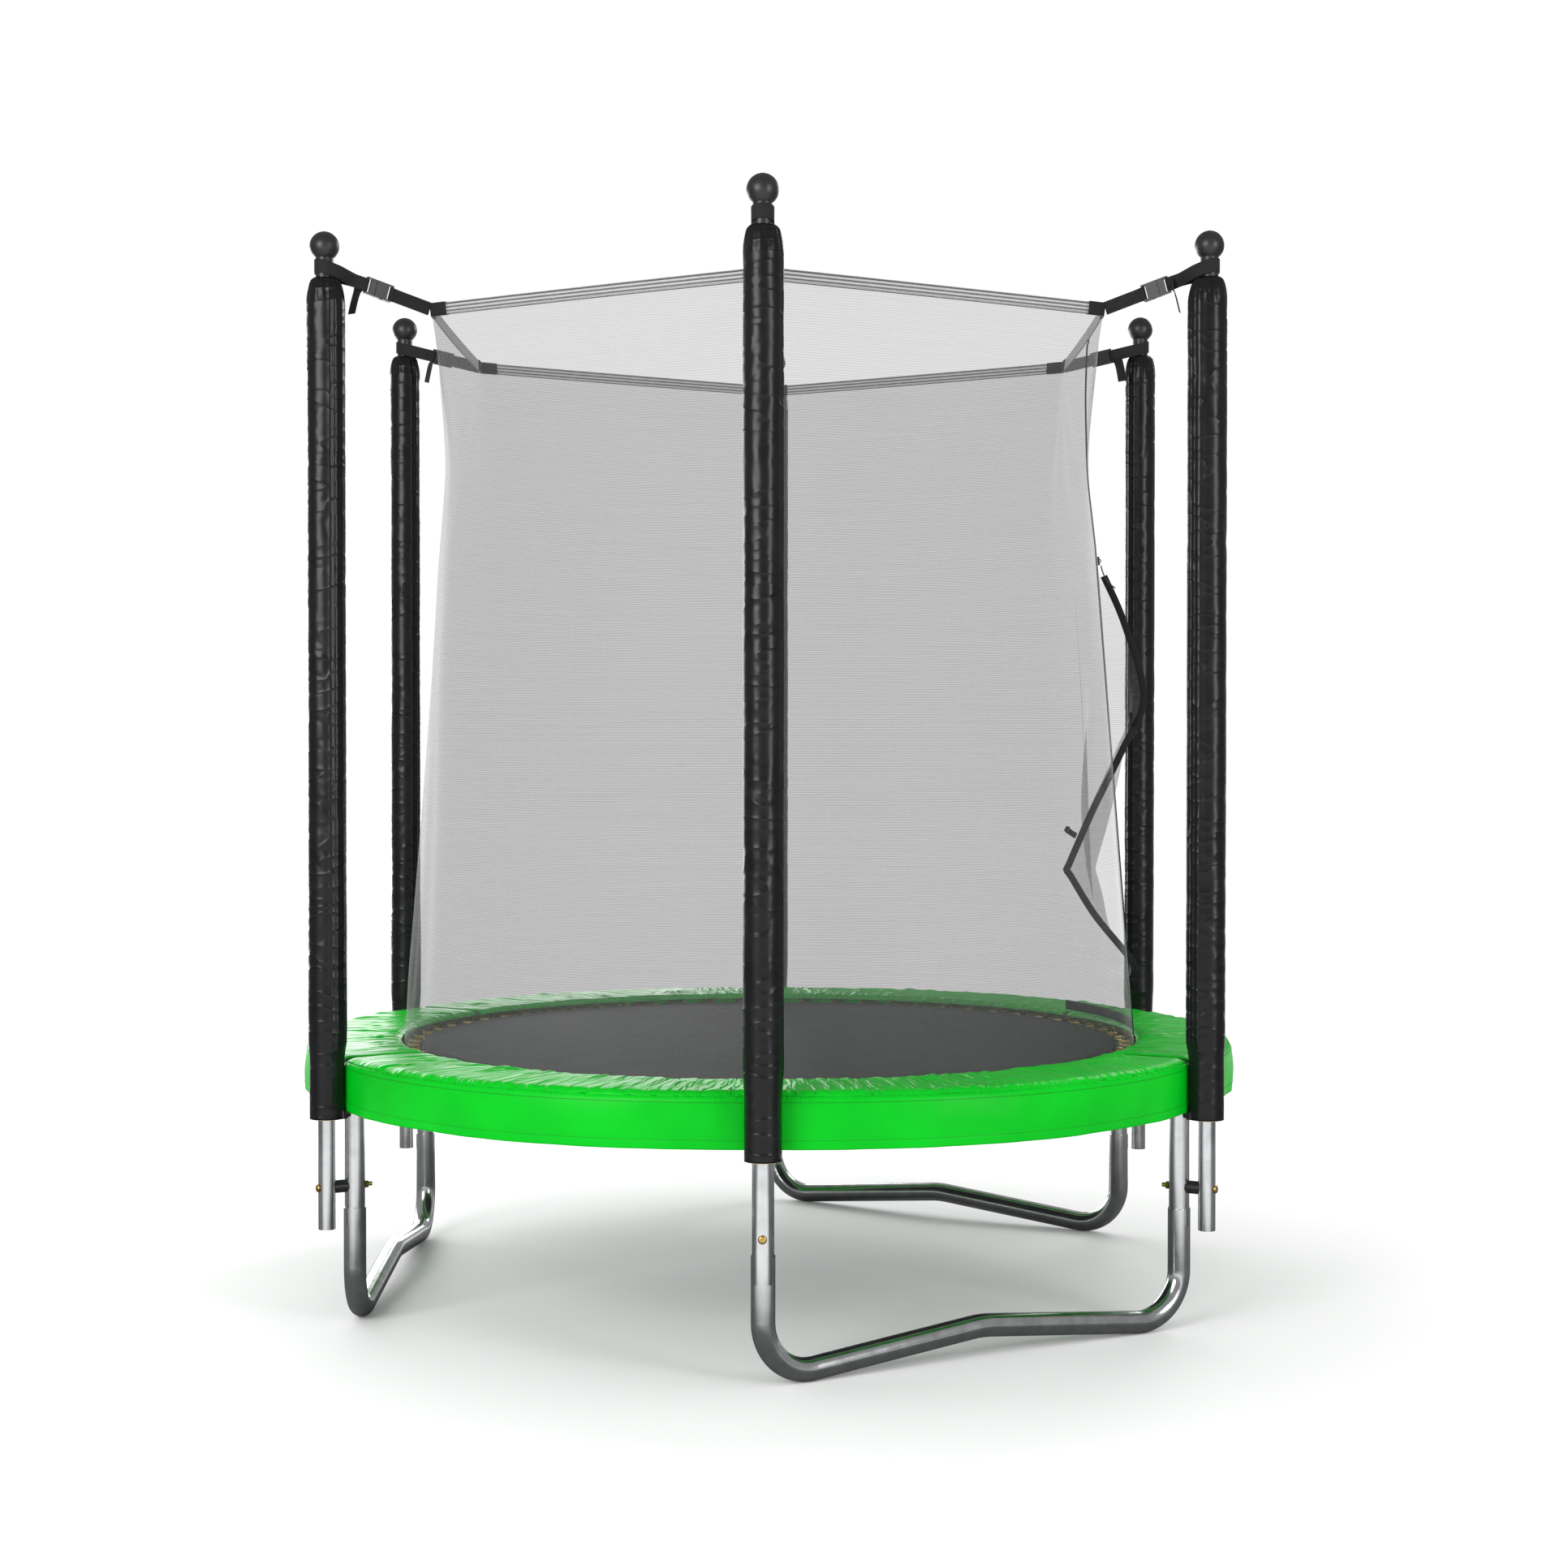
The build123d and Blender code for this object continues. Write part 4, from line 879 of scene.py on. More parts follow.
def teeth_tree():
    """Zip teeth in two rows that mesh, along a line."""
    tree, start, end = geometry_tree("Zip Teeth", [
        ("Pitch", FLOAT, 0.003), ("Width", FLOAT, 0.0032), ("Height", FLOAT, 0.0034),
        ("Material", MATERIAL, None)])
    line = add(tree, "GeometryNodeMeshToCurve", None, {0: start.outputs["Geometry"]})
    points = add(tree, "GeometryNodeCurveToPoints", {"mode": "LENGTH"}, {
        "Curve": line.outputs[0], "Length": start.outputs["Pitch"]})
    size = add(tree, "ShaderNodeCombineXYZ", None, {
        0: start.outputs["Width"], 1: start.outputs["Height"],
        2: times(tree, start.outputs["Pitch"], 0.6)})
    tooth = add(tree, "GeometryNodeMeshCube", None, {"Size": size.outputs[0]})
    rows = tree.nodes.new("GeometryNodeJoinGeometry")
    for side in (-1, 1):
        shift = add(tree, "ShaderNodeCombineXYZ", None, {
            0: times(tree, start.outputs["Width"], 0.42 * side),
            2: times(tree, start.outputs["Pitch"], 0.25 * side)})
        moved = add(tree, "GeometryNodeTransform", None, {
            "Geometry": tooth.outputs["Mesh"], "Translation": shift.outputs[0]})
        tree.links.new(moved.outputs[0], rows.inputs[0])
    copies = add(tree, "GeometryNodeInstanceOnPoints", None, {
        "Points": points.outputs["Points"], "Instance": rows.outputs[0],
        "Rotation": points.outputs["Rotation"]})
    return finish_tree(tree, copies.outputs[0], start, end)


def sleeve_tree():
    """Padded sleeve round an upright axis: a tube gathered at its neck, creased across, with a seam."""
    tree, start, end = geometry_tree("Gathered Sleeve", [
        ("Around", INTEGER, 61), ("Rows", INTEGER, 400), ("Radius", FLOAT, 0.0338),
        ("Neck", FLOAT, 0.020), ("Bottom", FLOAT, 0.397), ("Shoulder", FLOAT, 1.915),
        ("Top", FLOAT, 1.965), ("Crease", FLOAT, 0.0012), ("Pleat", FLOAT, 0.0016),
        ("Seam", FLOAT, 0.0024), ("Bulge", FLOAT, 0.0), ("Bulge Turn", FLOAT, 0.0),
        ("Pad Top", FLOAT, 0.505), ("Seed", FLOAT, 1.0), ("Material", MATERIAL, None)])
    value = start.outputs
    sheet = add(tree, "GeometryNodeMeshGrid", None, {
        "Size X": 1.0, "Size Y": 1.0, "Vertices X": value["Around"], "Vertices Y": value["Rows"]})
    spot = parts(tree, add(tree, "GeometryNodeInputPosition").outputs[0])
    turn = times(tree, spot[0], 2 * math.pi)
    share = plus(tree, spot[1], 0.5)
    height = times_plus(tree, share, minus(tree, value["Top"], value["Bottom"]),
                        value["Bottom"])
    rise = maths(tree, "DIVIDE", minus(tree, height, value["Shoulder"]),
                 minus(tree, value["Top"], value["Shoulder"]), clamp=True)
    dome = maths(tree, "SQRT", minus(tree, 1.0, maths(tree, "POWER", rise, 1.7)))
    radius = times_plus(tree, dome, minus(tree, value["Radius"], value["Neck"]),
                        value["Neck"])
    across, deep = maths(tree, "COSINE", turn), maths(tree, "SINE", turn)

    def noise(round_share, per_metre, detail):
        where = add(tree, "ShaderNodeCombineXYZ", None, {
            0: times(tree, across, round_share), 1: times(tree, deep, round_share),
            2: times(tree, height, per_metre)})
        return add(tree, "ShaderNodeTexNoise", {"noise_dimensions": "4D"}, {
            "Vector": where.outputs[0], "W": value["Seed"], "Scale": 1.0, "Detail": detail}).outputs[0]

    folded = maths(tree, "ABSOLUTE", times_plus(tree, noise(0.45, 24.0, 0.0), 2.0, -1.0))
    ridge = maths(tree, "POWER", minus(tree, 1.0, folded), 8.0)
    ridge = times(tree, ridge, times_plus(tree, noise(1.3, 9.0, 0.0), 3.4, -1.2,
                                          clamp=True))
    swell = times_plus(tree, noise(0.5, 11.0, 0.0), 1.0, -0.5)
    low_end = times_plus(tree, minus(tree, height, value["Bottom"]), 4.0, 0.15,
                         clamp=True)
    creased = times(tree, plus(tree, times(tree, ridge, -1.0), swell),
                    times(tree, value["Crease"], low_end))
    pleats = maths(tree, "SINE", times_plus(tree, turn, 17.0,
                                            times(tree, noise(1.5, 30.0, 0.0), 4.0)))
    pleats = times(tree, times(tree, pleats, value["Pleat"]),
                   maths(tree, "POWER", rise, 0.5))
    aside = maths(tree, "ABSOLUTE", times(tree, spot[0], 2 * math.pi))
    ridges = maths(tree, "POWER", maths(tree, "ABSOLUTE", maths(tree, "COSINE",
                                                                times(tree, aside, 9.0))), 1.5)
    strip = times(tree, ridges, times_plus(tree, aside, -5.0, 2.6, clamp=True))
    clear = times_plus(tree, minus(tree, height, value["Pad Top"]), 30.0, 0.0,
                       clamp=True)
    lobe = maths(tree, "MAXIMUM", maths(tree, "COSINE", minus(tree, turn, value["Bulge Turn"])),
                 0.0)
    lobe = times(tree, maths(tree, "POWER", lobe, 1.6), value["Bulge"])
    slack = times_plus(tree, clear, 0.0018, -0.0018)
    seam = times_plus(tree, strip, value["Seam"], times(tree, lobe, dome))
    seam = times_plus(tree, seam, spread(tree, clear, 0.4, 1.0), slack)
    radius = plus(tree, plus(tree, radius, creased), plus(tree, pleats, seam))
    placed = add(tree, "ShaderNodeCombineXYZ", None, {
        0: times(tree, deep, radius),
        1: times(tree, times(tree, across, radius), -1.0), 2: height})
    tube = add(tree, "GeometryNodeSetPosition", None, {
        "Geometry": sheet.outputs["Mesh"], "Position": placed.outputs[0]})
    welded = add(tree, "GeometryNodeMergeByDistance", None, {"Geometry": tube.outputs[0],
                                                             "Distance": 0.00005})
    soft = add(tree, "GeometryNodeSetShadeSmooth", None, {"Geometry": welded.outputs[0]})
    return finish_tree(tree, soft.outputs[0], start, end)


def tree_named(name, build):
    """Geometry tree, built once."""
    return bpy.data.node_groups.get(name) or build()


def round_the_mat(name, mesh, finish):
    """Copies of a front shape at every spring, as one piece."""
    return run_tree(new_object(name, mesh), tree_named("Round The Mat", round_tree), Count=SPRINGS,
                    First_Angle=math.radians(FIRST_SPRING), Material=finishes()[finish])


def stretch_to_mat(obj):
    """Bakes the piece's placement into its mesh."""
    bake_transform(obj)


def stitched_lines(name, lines, finish, pitch=None, thread=0.0009):
    """Stitches along several lines of points, as one piece."""
    points, edges = [], []
    for line in lines:
        first = len(points)
        points += [tuple(p) for p in line]
        edges += [(first + i, first + i + 1) for i in range(len(line) - 1)]
    mesh = bpy.data.meshes.new(name)
    mesh.from_pydata(points, edges, [])
    pitch = pitch or bpy.context.scene.trampoline_sizes.stitch
    return run_tree(new_object(name, mesh), tree_named("Stitch Line", stitch_tree),
                    Pitch=pitch, Length=0.7 * pitch, Thread=thread, Material=finishes()[finish])


# --------------------------------------------------------------------------- net shape
def net_corner_and_side(heights):
    """Corner and mid-side radius of the net at heights in metres, smoothed along the height."""
    rows = np.array(NET_PROFILE, float) * MM
    fine = np.linspace(rows[0, 0], rows[-1, 0], 288)
    reach = 14
    weights = np.exp(-0.5 * (np.arange(-reach, reach + 1) / 6.0) ** 2)
    weights /= weights.sum()
    found = []
    for column in (1, 2):
        radii = np.interp(fine, rows[:, 0], rows[:, column])
        head = 2 * radii[0] - radii[reach:0:-1]
        tail = 2 * radii[-1] - radii[-2:-reach - 2:-1]
        soft = np.convolve(np.concatenate([head, radii, tail]), weights, "valid")
        found.append(np.interp(heights, fine, soft))
    return found


def side_arc(corner, side):
    """Radius and centre of the arc through two corners and the middle of the side between them."""
    half = math.radians(STEP / 2)
    chord = corner * math.sin(half)
    rise = side - corner * math.cos(half)
    rise = np.where(np.abs(rise) < 1e-6, 1e-6, rise)
    bow = (chord ** 2 + rise ** 2) / (2 * rise)
    return bow, side - bow


def net_radius(angles, heights):
    """Radius of the net at angles in degrees and heights in metres, without its folds."""
    angles, heights = np.broadcast_arrays(np.asarray(angles, float), np.asarray(heights, float))
    corner, side = net_corner_and_side(heights)
    half = math.radians(STEP / 2)
    top = bpy.context.scene.trampoline_sizes.net_top
    soften = np.radians(2.2) * np.clip((top - 0.03 - heights) / 0.35, 0, 1)
    from_corner = half - np.abs(np.radians((angles % STEP) - STEP / 2))
    turn = half - np.sqrt(from_corner ** 2 + soften ** 2)
    bow, centre = side_arc(corner, side)
    reach = np.sqrt(np.maximum(bow ** 2 - (centre * np.sin(turn)) ** 2, 0.0))
    return centre * np.cos(turn) + np.where(bow > 0, reach, -reach)


def net_folds(angles, heights):
    """Soft folds of the net: upright ones below, slack in the middle, pulls from each corner."""
    angles, heights = np.broadcast_arrays(np.asarray(angles, float), np.asarray(heights, float))
    sizes = bpy.context.scene.trampoline_sizes
    turn = np.radians(angles)
    above_foot = np.clip((heights - sizes.net_bottom) / 0.16, 0, 1)
    below_top = np.clip((sizes.net_top - sizes.hem_height - heights) / 0.16, 0, 1)
    calm = above_foot ** 2 * (3 - 2 * above_foot) * below_top ** 2 * (3 - 2 * below_top)
    upright = np.sin(31 * turn + 2.2 * heights + 1.3 * np.sin(5 * turn))
    upright = upright * np.exp(-(heights - 0.5) / 0.45)
    slack = np.sin(9 * turn + 3.1 * heights + 0.7) + 0.6 * np.sin(14 * turn - 4.3 * heights)
    across = (np.abs((angles % STEP) - STEP / 2) - STEP / 2) * np.radians(1) * 0.73
    down = sizes.net_top - heights
    fan = np.arctan2(-across, np.maximum(down, 0.02))
    pull = np.sin(17 * fan + 0.4 * np.floor(angles / STEP)) * np.exp(-np.hypot(across, down) / 0.22)
    return calm * (0.0030 * upright + 0.0022 * slack + 0.0050 * pull)


def net_points(angles, heights, offset=0.0):
    """Grid of points on the net, rows up and columns round."""
    angles, heights = np.meshgrid(np.asarray(angles, float), np.asarray(heights, float))
    radii = net_radius(angles, heights) + net_folds(angles, heights) + offset
    return polar_grid(angles, radii, heights)


def net_sheet(name, angles, heights):
    """Single sheet of net, its UV map in metres round and up."""
    points = net_points(angles, heights)
    u, v = np.meshgrid(np.radians(np.asarray(angles, float)) * NET_UV_RADIUS, np.asarray(heights, float))
    faces = grid_faces(len(heights), len(angles))
    return make_mesh(name, points, faces, np.stack([u, v], axis=-1))


def steps(start, end, size):
    """Evenly spaced numbers from start to end, about a size apart."""
    return np.linspace(start, end, max(2, int(round(abs(end - start) / size)) + 1))


def zip_radius(heights):
    """Radius of the zip line; its lower part is straight."""
    sizes = bpy.context.scene.trampoline_sizes
    low, high = ZIP_STRAIGHT
    ends = net_radius([sizes.zip_angle] * 2, ZIP_STRAIGHT)
    straight = ends[0] + (np.asarray(heights) - low) / (high - low) * (ends[1] - ends[0])
    free = net_radius(sizes.zip_angle, heights)
    return np.where(np.asarray(heights) < high, straight, free)


def zip_half_angle():
    """Half of the zip's tape as an angle, with a little gap."""
    return math.degrees(0.0105 / float(zip_radius(1.5)))


# --------------------------------------------------------------------------- operators
class MakeSteelwork(bpy.types.Operator):
    """Finish the rails, legs, poles, bolts and moulded fittings"""
    bl_idname = "trampoline.make_steelwork"
    bl_label = "Steelwork and Fittings"

    def execute(self, context):
        slots = {row["node"]: row["material_slot"] for row in frame["record"]["subparts"]}
        finish_of = {"steel": "steel", "yellow_zinc": "zinc", "black_plastic": "plastic"}
        for name, node in frame["nodes"].items():
            finish = "plastic" if name == "zip_slider" else finish_of.get(slots.get(name))
            if finish:
                node.data.materials.clear()
                node.data.materials.append(finishes()[finish])
        return {"FINISHED"}


class MakeSprings(bpy.types.Operator):
    """Make the extension springs between the rail and the mat"""
    bl_idname = "trampoline.make_springs"
    bl_label = "Springs"

    def execute(self, context):
        sizes = context.scene.trampoline_sizes
        inner_hook = [(0.754, 0.4945), (0.7515, 0.4900), (0.7460, 0.4885), (0.7400, 0.4941),
                      (0.7313, 0.4941), (0.7313, 0.4855)]
        outer_hook = [(0.858, 0.4945), (0.8610, 0.4900), (0.8650, 0.4880), (0.88257, 0.4880),
                      (0.88257, 0.4745)]
        points = [(0.0, -r, z) for hook in (inner_hook, outer_hook) for r, z in hook]
        edges = [(i, i + 1) for i in range(5)] + [(i, i + 1) for i in range(6, 10)]
        mesh = bpy.data.meshes.new("spring")
        mesh.from_pydata(points, edges, [])
        model = run_tree(
            new_object("spring_model", mesh), tree_named("Coil And Hooks", wire_tree),
            Wire=sizes.spring_wire, Coil_Radius=sizes.spring_radius - sizes.spring_wire / 2,
            Material=finishes()["spring"])
        for i in range(SPRINGS):
            angle = FIRST_SPRING + i * SPRING_PITCH
            mesh = model.data.copy()
            mesh.transform(Matrix.Rotation(math.radians(angle), 4, "Z"))
            spring = new_object(f"spring_{i + 1:02d}", mesh)
            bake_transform(spring)
            fix(spring, None, "spring_steel", "springs")
        bpy.data.objects.remove(model)
        return {"FINISHED"}


class MakeMat(bpy.types.Operator):
    """Make the jumping mat, its stitched edge, its tabs and the wire rings in them"""
    bl_idname = "trampoline.make_mat"
    bl_label = "Jumping Mat"

    def execute(self, context):
        sizes = context.scene.trampoline_sizes
        radius, top, thickness = sizes.mat_radius, sizes.mat_top, 0.003
        hem = 0.027
        # Radius and height of the section, from the middle of the top round to the middle below
        top_run = [(r, top - 0.0006) for r in steps(0.03, radius - hem - 0.004, 0.03)]
        edge = [(radius - hem, top), (radius - 0.002, top), (radius - 0.0005, top - 0.0006),
                (radius, top - thickness / 2), (radius - 0.0005, top - thickness + 0.0006),
                (radius - 0.002, top - thickness), (radius - hem, top - thickness)]
        below = [(r, z - 2 * (z - (top - thickness / 2))) for r, z in reversed(top_run)]
        section = top_run + edge + below
        around = 264
        angles = np.arange(around) * 360 / around
        points = [(0.0, 0.0, top_run[0][1])]
        for r, z in section:
            points += [tuple(polar(a, r, z)) for a in angles]
        points.append((0.0, 0.0, below[-1][1]))
        faces = []
        for i in range(around):
            j = (i + 1) % around
            faces.append((0, 1 + i, 1 + j))
            for ring in range(len(section) - 1):
                a, b = 1 + ring * around, 1 + (ring + 1) * around
                faces.append((a + i, b + i, b + j, a + j))
            last = 1 + (len(section) - 1) * around
            faces.append((last + j, last + i, len(points) - 1))
        uv = [(p[0], p[1]) for p in points]
        mat = new_object("jumping_mat", make_mesh("jumping_mat", points, faces, uv), "mat")
        fix(mat, "mat", "mat_fabric", "mat")

        lines = []
        for inset in (0.005, 0.014, 0.023):
            ring = [polar(a, radius - inset, top + 0.0001) for a in np.append(angles, 360.0)]
            lines.append(ring)
        seams = stitched_lines("mat_edge_stitching", lines, "thread", 0.006)
        fix(seams, "mat", "webbing")

        loop = smooth_line(
            [(0, -0.694, 0.4900), (0, -0.706, 0.4901), (0, -0.7115, 0.4930), (0, -0.7150, 0.4905),
             (0, -0.7135, 0.4876), (0, -0.706, 0.4879), (0, -0.694, 0.4881)], 0.0015)
        ribbon = ribbon_mesh("mat_tabs", loop, (1, 0, 0), 0.016, 0.0014)
        tabs = round_the_mat("mat_tabs_sewn", ribbon, "webbing")
        fix(tabs, "mat", "webbing", "mat_tabs")
        # Ring: its wire, its length outwards, half its width inside and at its tip, height and bends
        wire, length, base, tip, ring_height, bend = 0.004, 0.024, 0.014, 0.006, 0.490, 0.004
        inner = radius + wire
        corners = [(-base, -inner), (base, -inner), (tip, -inner - length), (-tip, -inner - length)]
        loop = wire_loop_mesh("wire_ring", corners, ring_height, bend, wire)
        rings = round_the_mat("mat_wire_rings", loop, "zinc")
        fix(rings, "mat", "yellow_zinc", "mat_rings")
        return {"FINISHED"}


class MakePad(bpy.types.Operator):
    """Make the padded spring cover and its hanging skirt"""
    bl_idname = "trampoline.make_pad"
    bl_label = "Spring Pad and Skirt"

    def execute(self, context):
        sizes = context.scene.trampoline_sizes
        swollen = swollen_panel(sizes)
        for i in range(STATIONS):
            panel = pad_panel(sizes, i) if swollen is None else creased_panel(sizes, swollen, i)
            panel = new_object(f"spring_pad_{i + 1}", panel, "pad")
            fix(panel, "frame", "pad_vinyl", "spring_pad")
        skirts = [skirt_panel(sizes, i) for i in range(STATIONS)]
        skirt = new_object("pad_skirt_cloth", joined("pad_skirt_cloth", skirts), "pad")
        fix(skirt, "frame", "pad_vinyl", "pad_skirt")
        lines = []
        for i in range(STATIONS):
            angles = steps(i * STEP + 0.3, (i + 1) * STEP - 0.3, 0.5)
            for height in (0.4905, 0.426):
                radii = skirt_radius(sizes, angles, height) + 0.0003
                lines.append(polar_grid(angles, radii, height))
            inner_line = np.full_like(angles, sizes.pad_inner + 0.011)
            lines.append(polar_grid(angles, inner_line, sizes.pad_top + 0.0002))
        seams = stitched_lines("pad_stitching", lines, "pad_thread", 0.0045, 0.0008)
        fix(seams, "frame", "pad_vinyl")
        return {"FINISHED"}


def mesh_points(mesh):
    """Points of a mesh as an array."""
    points = np.empty(len(mesh.vertices) * 3)
    mesh.vertices.foreach_get("co", points)
    return points.reshape(-1, 3)


def swollen_panel(sizes):
    """First panel of the pad, swollen by its filling in a cloth simulation."""
    cover = new_object("pad_cover", pad_panel(sizes, 0, PAD_INSET))
    remesh = cover.modifiers.new("Even Faces", "REMESH")
    remesh.mode, remesh.voxel_size = "VOXEL", PAD_VOXEL
    even = evaluated_mesh(cover)
    bpy.data.objects.remove(cover)
    cloth = new_object("pad_cloth", even)
    start = mesh_points(even)
    settings = cloth.modifiers.new("Cloth", "CLOTH").settings
    settings.quality, settings.mass = 5, 0.35
    settings.tension_stiffness = settings.compression_stiffness = settings.shear_stiffness = 12.0
    settings.bending_stiffness = 0.06
    settings.use_pressure, settings.uniform_pressure_force = True, 4.0
    settings.effector_weights.gravity = 0.0
    for number in range(1, CLOTH_FRAMES + 1):
        bpy.context.scene.frame_set(number)
    held = evaluated_mesh(cloth)
    moved = mesh_points(held) - start
    bpy.context.scene.frame_set(1)
    bpy.data.objects.remove(cloth)
    flat = np.hypot(start[:, 0], start[:, 1])
    outward = np.stack([start[:, 0] / flat, start[:, 1] / flat], axis=1)
    out = np.sum(moved[:, :2] * outward, axis=1)
    turn = np.degrees(np.arctan2(start[:, 0], -start[:, 1])) % 360
    end = np.clip(np.minimum(turn, STEP - turn) / 1.0, 0, 1)
    up = moved[:, 2]
    rise = np.where(up > 0, PAD_UP * np.tanh(up / PAD_UP), PAD_DOWN * np.tanh(up / PAD_DOWN))
    out = PAD_ASIDE * np.tanh(out / PAD_ASIDE) * end
    points = start + np.concatenate([outward * out[:, None], (rise * end)[:, None]], axis=1)
    held.vertices.foreach_set("co", points.ravel())
    held.update()
    soft = new_object("pad_soft", held)
    soft.modifiers.new("Round", "SUBSURF").levels = 1
    rounded = evaluated_mesh(soft)
    bpy.data.objects.remove(soft)
    return rounded


def creased_panel(sizes, swollen, index):
    """Copy of the swollen panel turned to its place, with its own creases."""
    mesh = swollen.copy()
    mesh.name = f"pad_{index}"
    mesh.transform(Matrix.Rotation(math.radians(index * STEP), 4, "Z"))
    points = mesh_points(mesh)
    radii = np.hypot(points[:, 0], points[:, 1])
    angles = np.degrees(np.arctan2(points[:, 0], -points[:, 1])) - (index + 0.5) * STEP
    angles = (angles + 180) % 360 - 180 + (index + 0.5) * STEP
    on_top = np.clip((points[:, 2] - (sizes.pad_top - 0.007)) / 0.004, 0, 1)
    edge = np.clip(np.minimum(angles - index * STEP, (index + 1) * STEP - angles) / 0.8, 0, 1)
    inner_share = np.clip((radii - sizes.pad_inner) / 0.012, 0, 1)
    points[:, 2] += on_top * edge * inner_share * pad_creases(angles, radii, index)
    near = np.clip(1 - np.minimum(angles - index * STEP, (index + 1) * STEP - angles) / 0.8, 0, 1)
    upper = np.clip((points[:, 2] - sizes.pad_bottom) / (sizes.pad_top - sizes.pad_bottom), 0, 1)
    points[:, 2] -= 0.0055 * upper * near ** 1.5
    mesh.vertices.foreach_set("co", points.ravel())
    mesh.update()
    lay_uv(mesh, np.stack([np.radians(angles) * PAD_UV_RADIUS, radii], axis=-1))
    mesh.polygons.foreach_set("use_smooth", [True] * len(mesh.polygons))
    return mesh


def pad_reach(sizes, angles, share):
    """Outer radius of the pad or skirt, for a share of 0 at the poles' line to 1 at the full belly."""
    middle = sizes.skirt_seam + share * (sizes.skirt_belly - sizes.skirt_seam)
    bow, centre = side_arc(sizes.skirt_seam, middle)
    turn = np.radians((np.asarray(angles) % STEP) - STEP / 2)
    return centre * np.cos(turn) + np.sqrt(bow ** 2 - (centre * np.sin(turn)) ** 2)


def skirt_radius(sizes, angles, height):
    """Outer radius of the skirt, with its soft waves."""
    angles, height = np.broadcast_arrays(np.asarray(angles, float), np.asarray(height, float))
    drop = np.clip((sizes.pad_bottom - height) / (sizes.pad_bottom - sizes.skirt_bottom), 0, 1)
    share = PAD_SHARE + (1 - PAD_SHARE) * np.sin(np.pi * np.clip(drop * 1.05, 0, 1)) + 0.05 * drop
    turn = np.radians(angles)
    calm = np.clip(np.minimum(angles % STEP, STEP - angles % STEP) / 6.0, 0, 1)
    waves = np.sin(41 * turn + 2.0 * drop) + 0.5 * np.sin(77 * turn + 3 * drop)
    folds = np.sin(13 * turn + 0.8 + 0.5 * drop) + 0.7 * np.sin(22 * turn + 2.1 - 0.8 * drop)
    return (pad_reach(sizes, angles, share) + calm * (0.0003 + 0.0007 * drop ** 1.5) * waves
            + calm * 0.0019 * drop * folds)


def skirt_panel(sizes, index):
    """Skirt between two poles, with an arched notch at each end and a folded hem."""
    angles = steps(index * STEP + 0.026, (index + 1) * STEP - 0.026, 0.35)
    share = np.concatenate([steps(0, 0.8, 0.06), [0.815, 0.83, 0.9, 0.96, 1.0]])
    side = np.minimum(angles - index * STEP, (index + 1) * STEP - angles)
    aside = np.radians(side) * sizes.skirt_seam
    notch = 0.0095 * np.clip((0.018 - aside) / 0.006, 0, 1)
    top = sizes.pad_bottom + 0.003
    columns, rows = np.meshgrid(angles, share)
    bottom = sizes.skirt_bottom + notch[None, :]
    heights = top + rows * (bottom - top)
    lip = np.where(rows > 0.82, 0.0006, 0.0)
    tuck = 0.003 * np.clip(1 - rows / 0.08, 0, 1)
    radii = skirt_radius(sizes, columns, heights) + lip - tuck
    outer = polar_grid(columns, radii, heights)[::-1]
    inner = polar_grid(columns, radii - 0.0015 - 2 * lip, heights)[::-1]
    u, v = np.meshgrid(np.radians(angles) * sizes.skirt_seam, -rows[::-1, 0] * 0.09)
    return shell_mesh(f"skirt_{index}", outer, inner, np.stack([u, v], axis=-1))


def pad_section(sizes, angles):
    """Closed section of the pad at each angle, from the inner foot over the top and back below."""
    full = pad_reach(sizes, angles, PAD_SHARE)
    inner = np.full_like(full, sizes.pad_inner)
    low, high = sizes.pad_bottom, sizes.pad_top
    rows = [(inner + 0.001, low + 0.0005), (inner, low + 0.0035), (inner + 0.001, low + 0.0070),
            (inner + 0.004, high - 0.0020), (inner + 0.009, high - 0.0012)]
    for share in steps(0.08, 0.92, 0.028):
        crown = 0.0012 * math.sin(math.pi * share)
        rows.append((inner + share * (full - inner), high - 0.0008 + crown))
    rows += [(full - 0.0105, high - 0.0015), (full - 0.0050, high - 0.0040),
             (full - 0.0012, high - 0.0075), (full + 0.0002, low + 0.0010),
             (full - 0.0010, low - 0.0045), (full - 0.0040, low + 0.0002)]
    for share in steps(0.96, 0.02, 0.1):
        rows.append((inner + share * (full - inner), np.full_like(full, low)))
    return rows


def pad_creases(angles, radii, index):
    """Creases of the pad's top: shallow pulls that run outwards, at set places in each panel."""
    draw = np.random.default_rng(40 + index)
    total = np.zeros(np.broadcast(angles, radii).shape)
    for turn in range(58):
        short = turn % 2
        middle = index * STEP + draw.uniform(2, STEP - 2)
        lean = draw.uniform(-28, 28) * (1 + 1.6 * short)
        reach = draw.uniform(0.012, 0.026) if short else draw.uniform(0.03, 0.09)
        centre = draw.choice([0.775, 0.90 - 0.1 * short]) + draw.uniform(-0.01, 0.03)
        width = draw.uniform(0.25, 0.6)
        depth = draw.uniform(0.0008, 0.0022)
        off = (angles - middle - lean * (radii - 0.83)) / width
        along = (radii - centre) / reach
        total += depth * (np.exp(-0.5 * off ** 2) - 0.55 * np.exp(-0.5 * ((off - 1.6) / 1.2) ** 2)) \
            * np.exp(-0.5 * along ** 2)
    return total


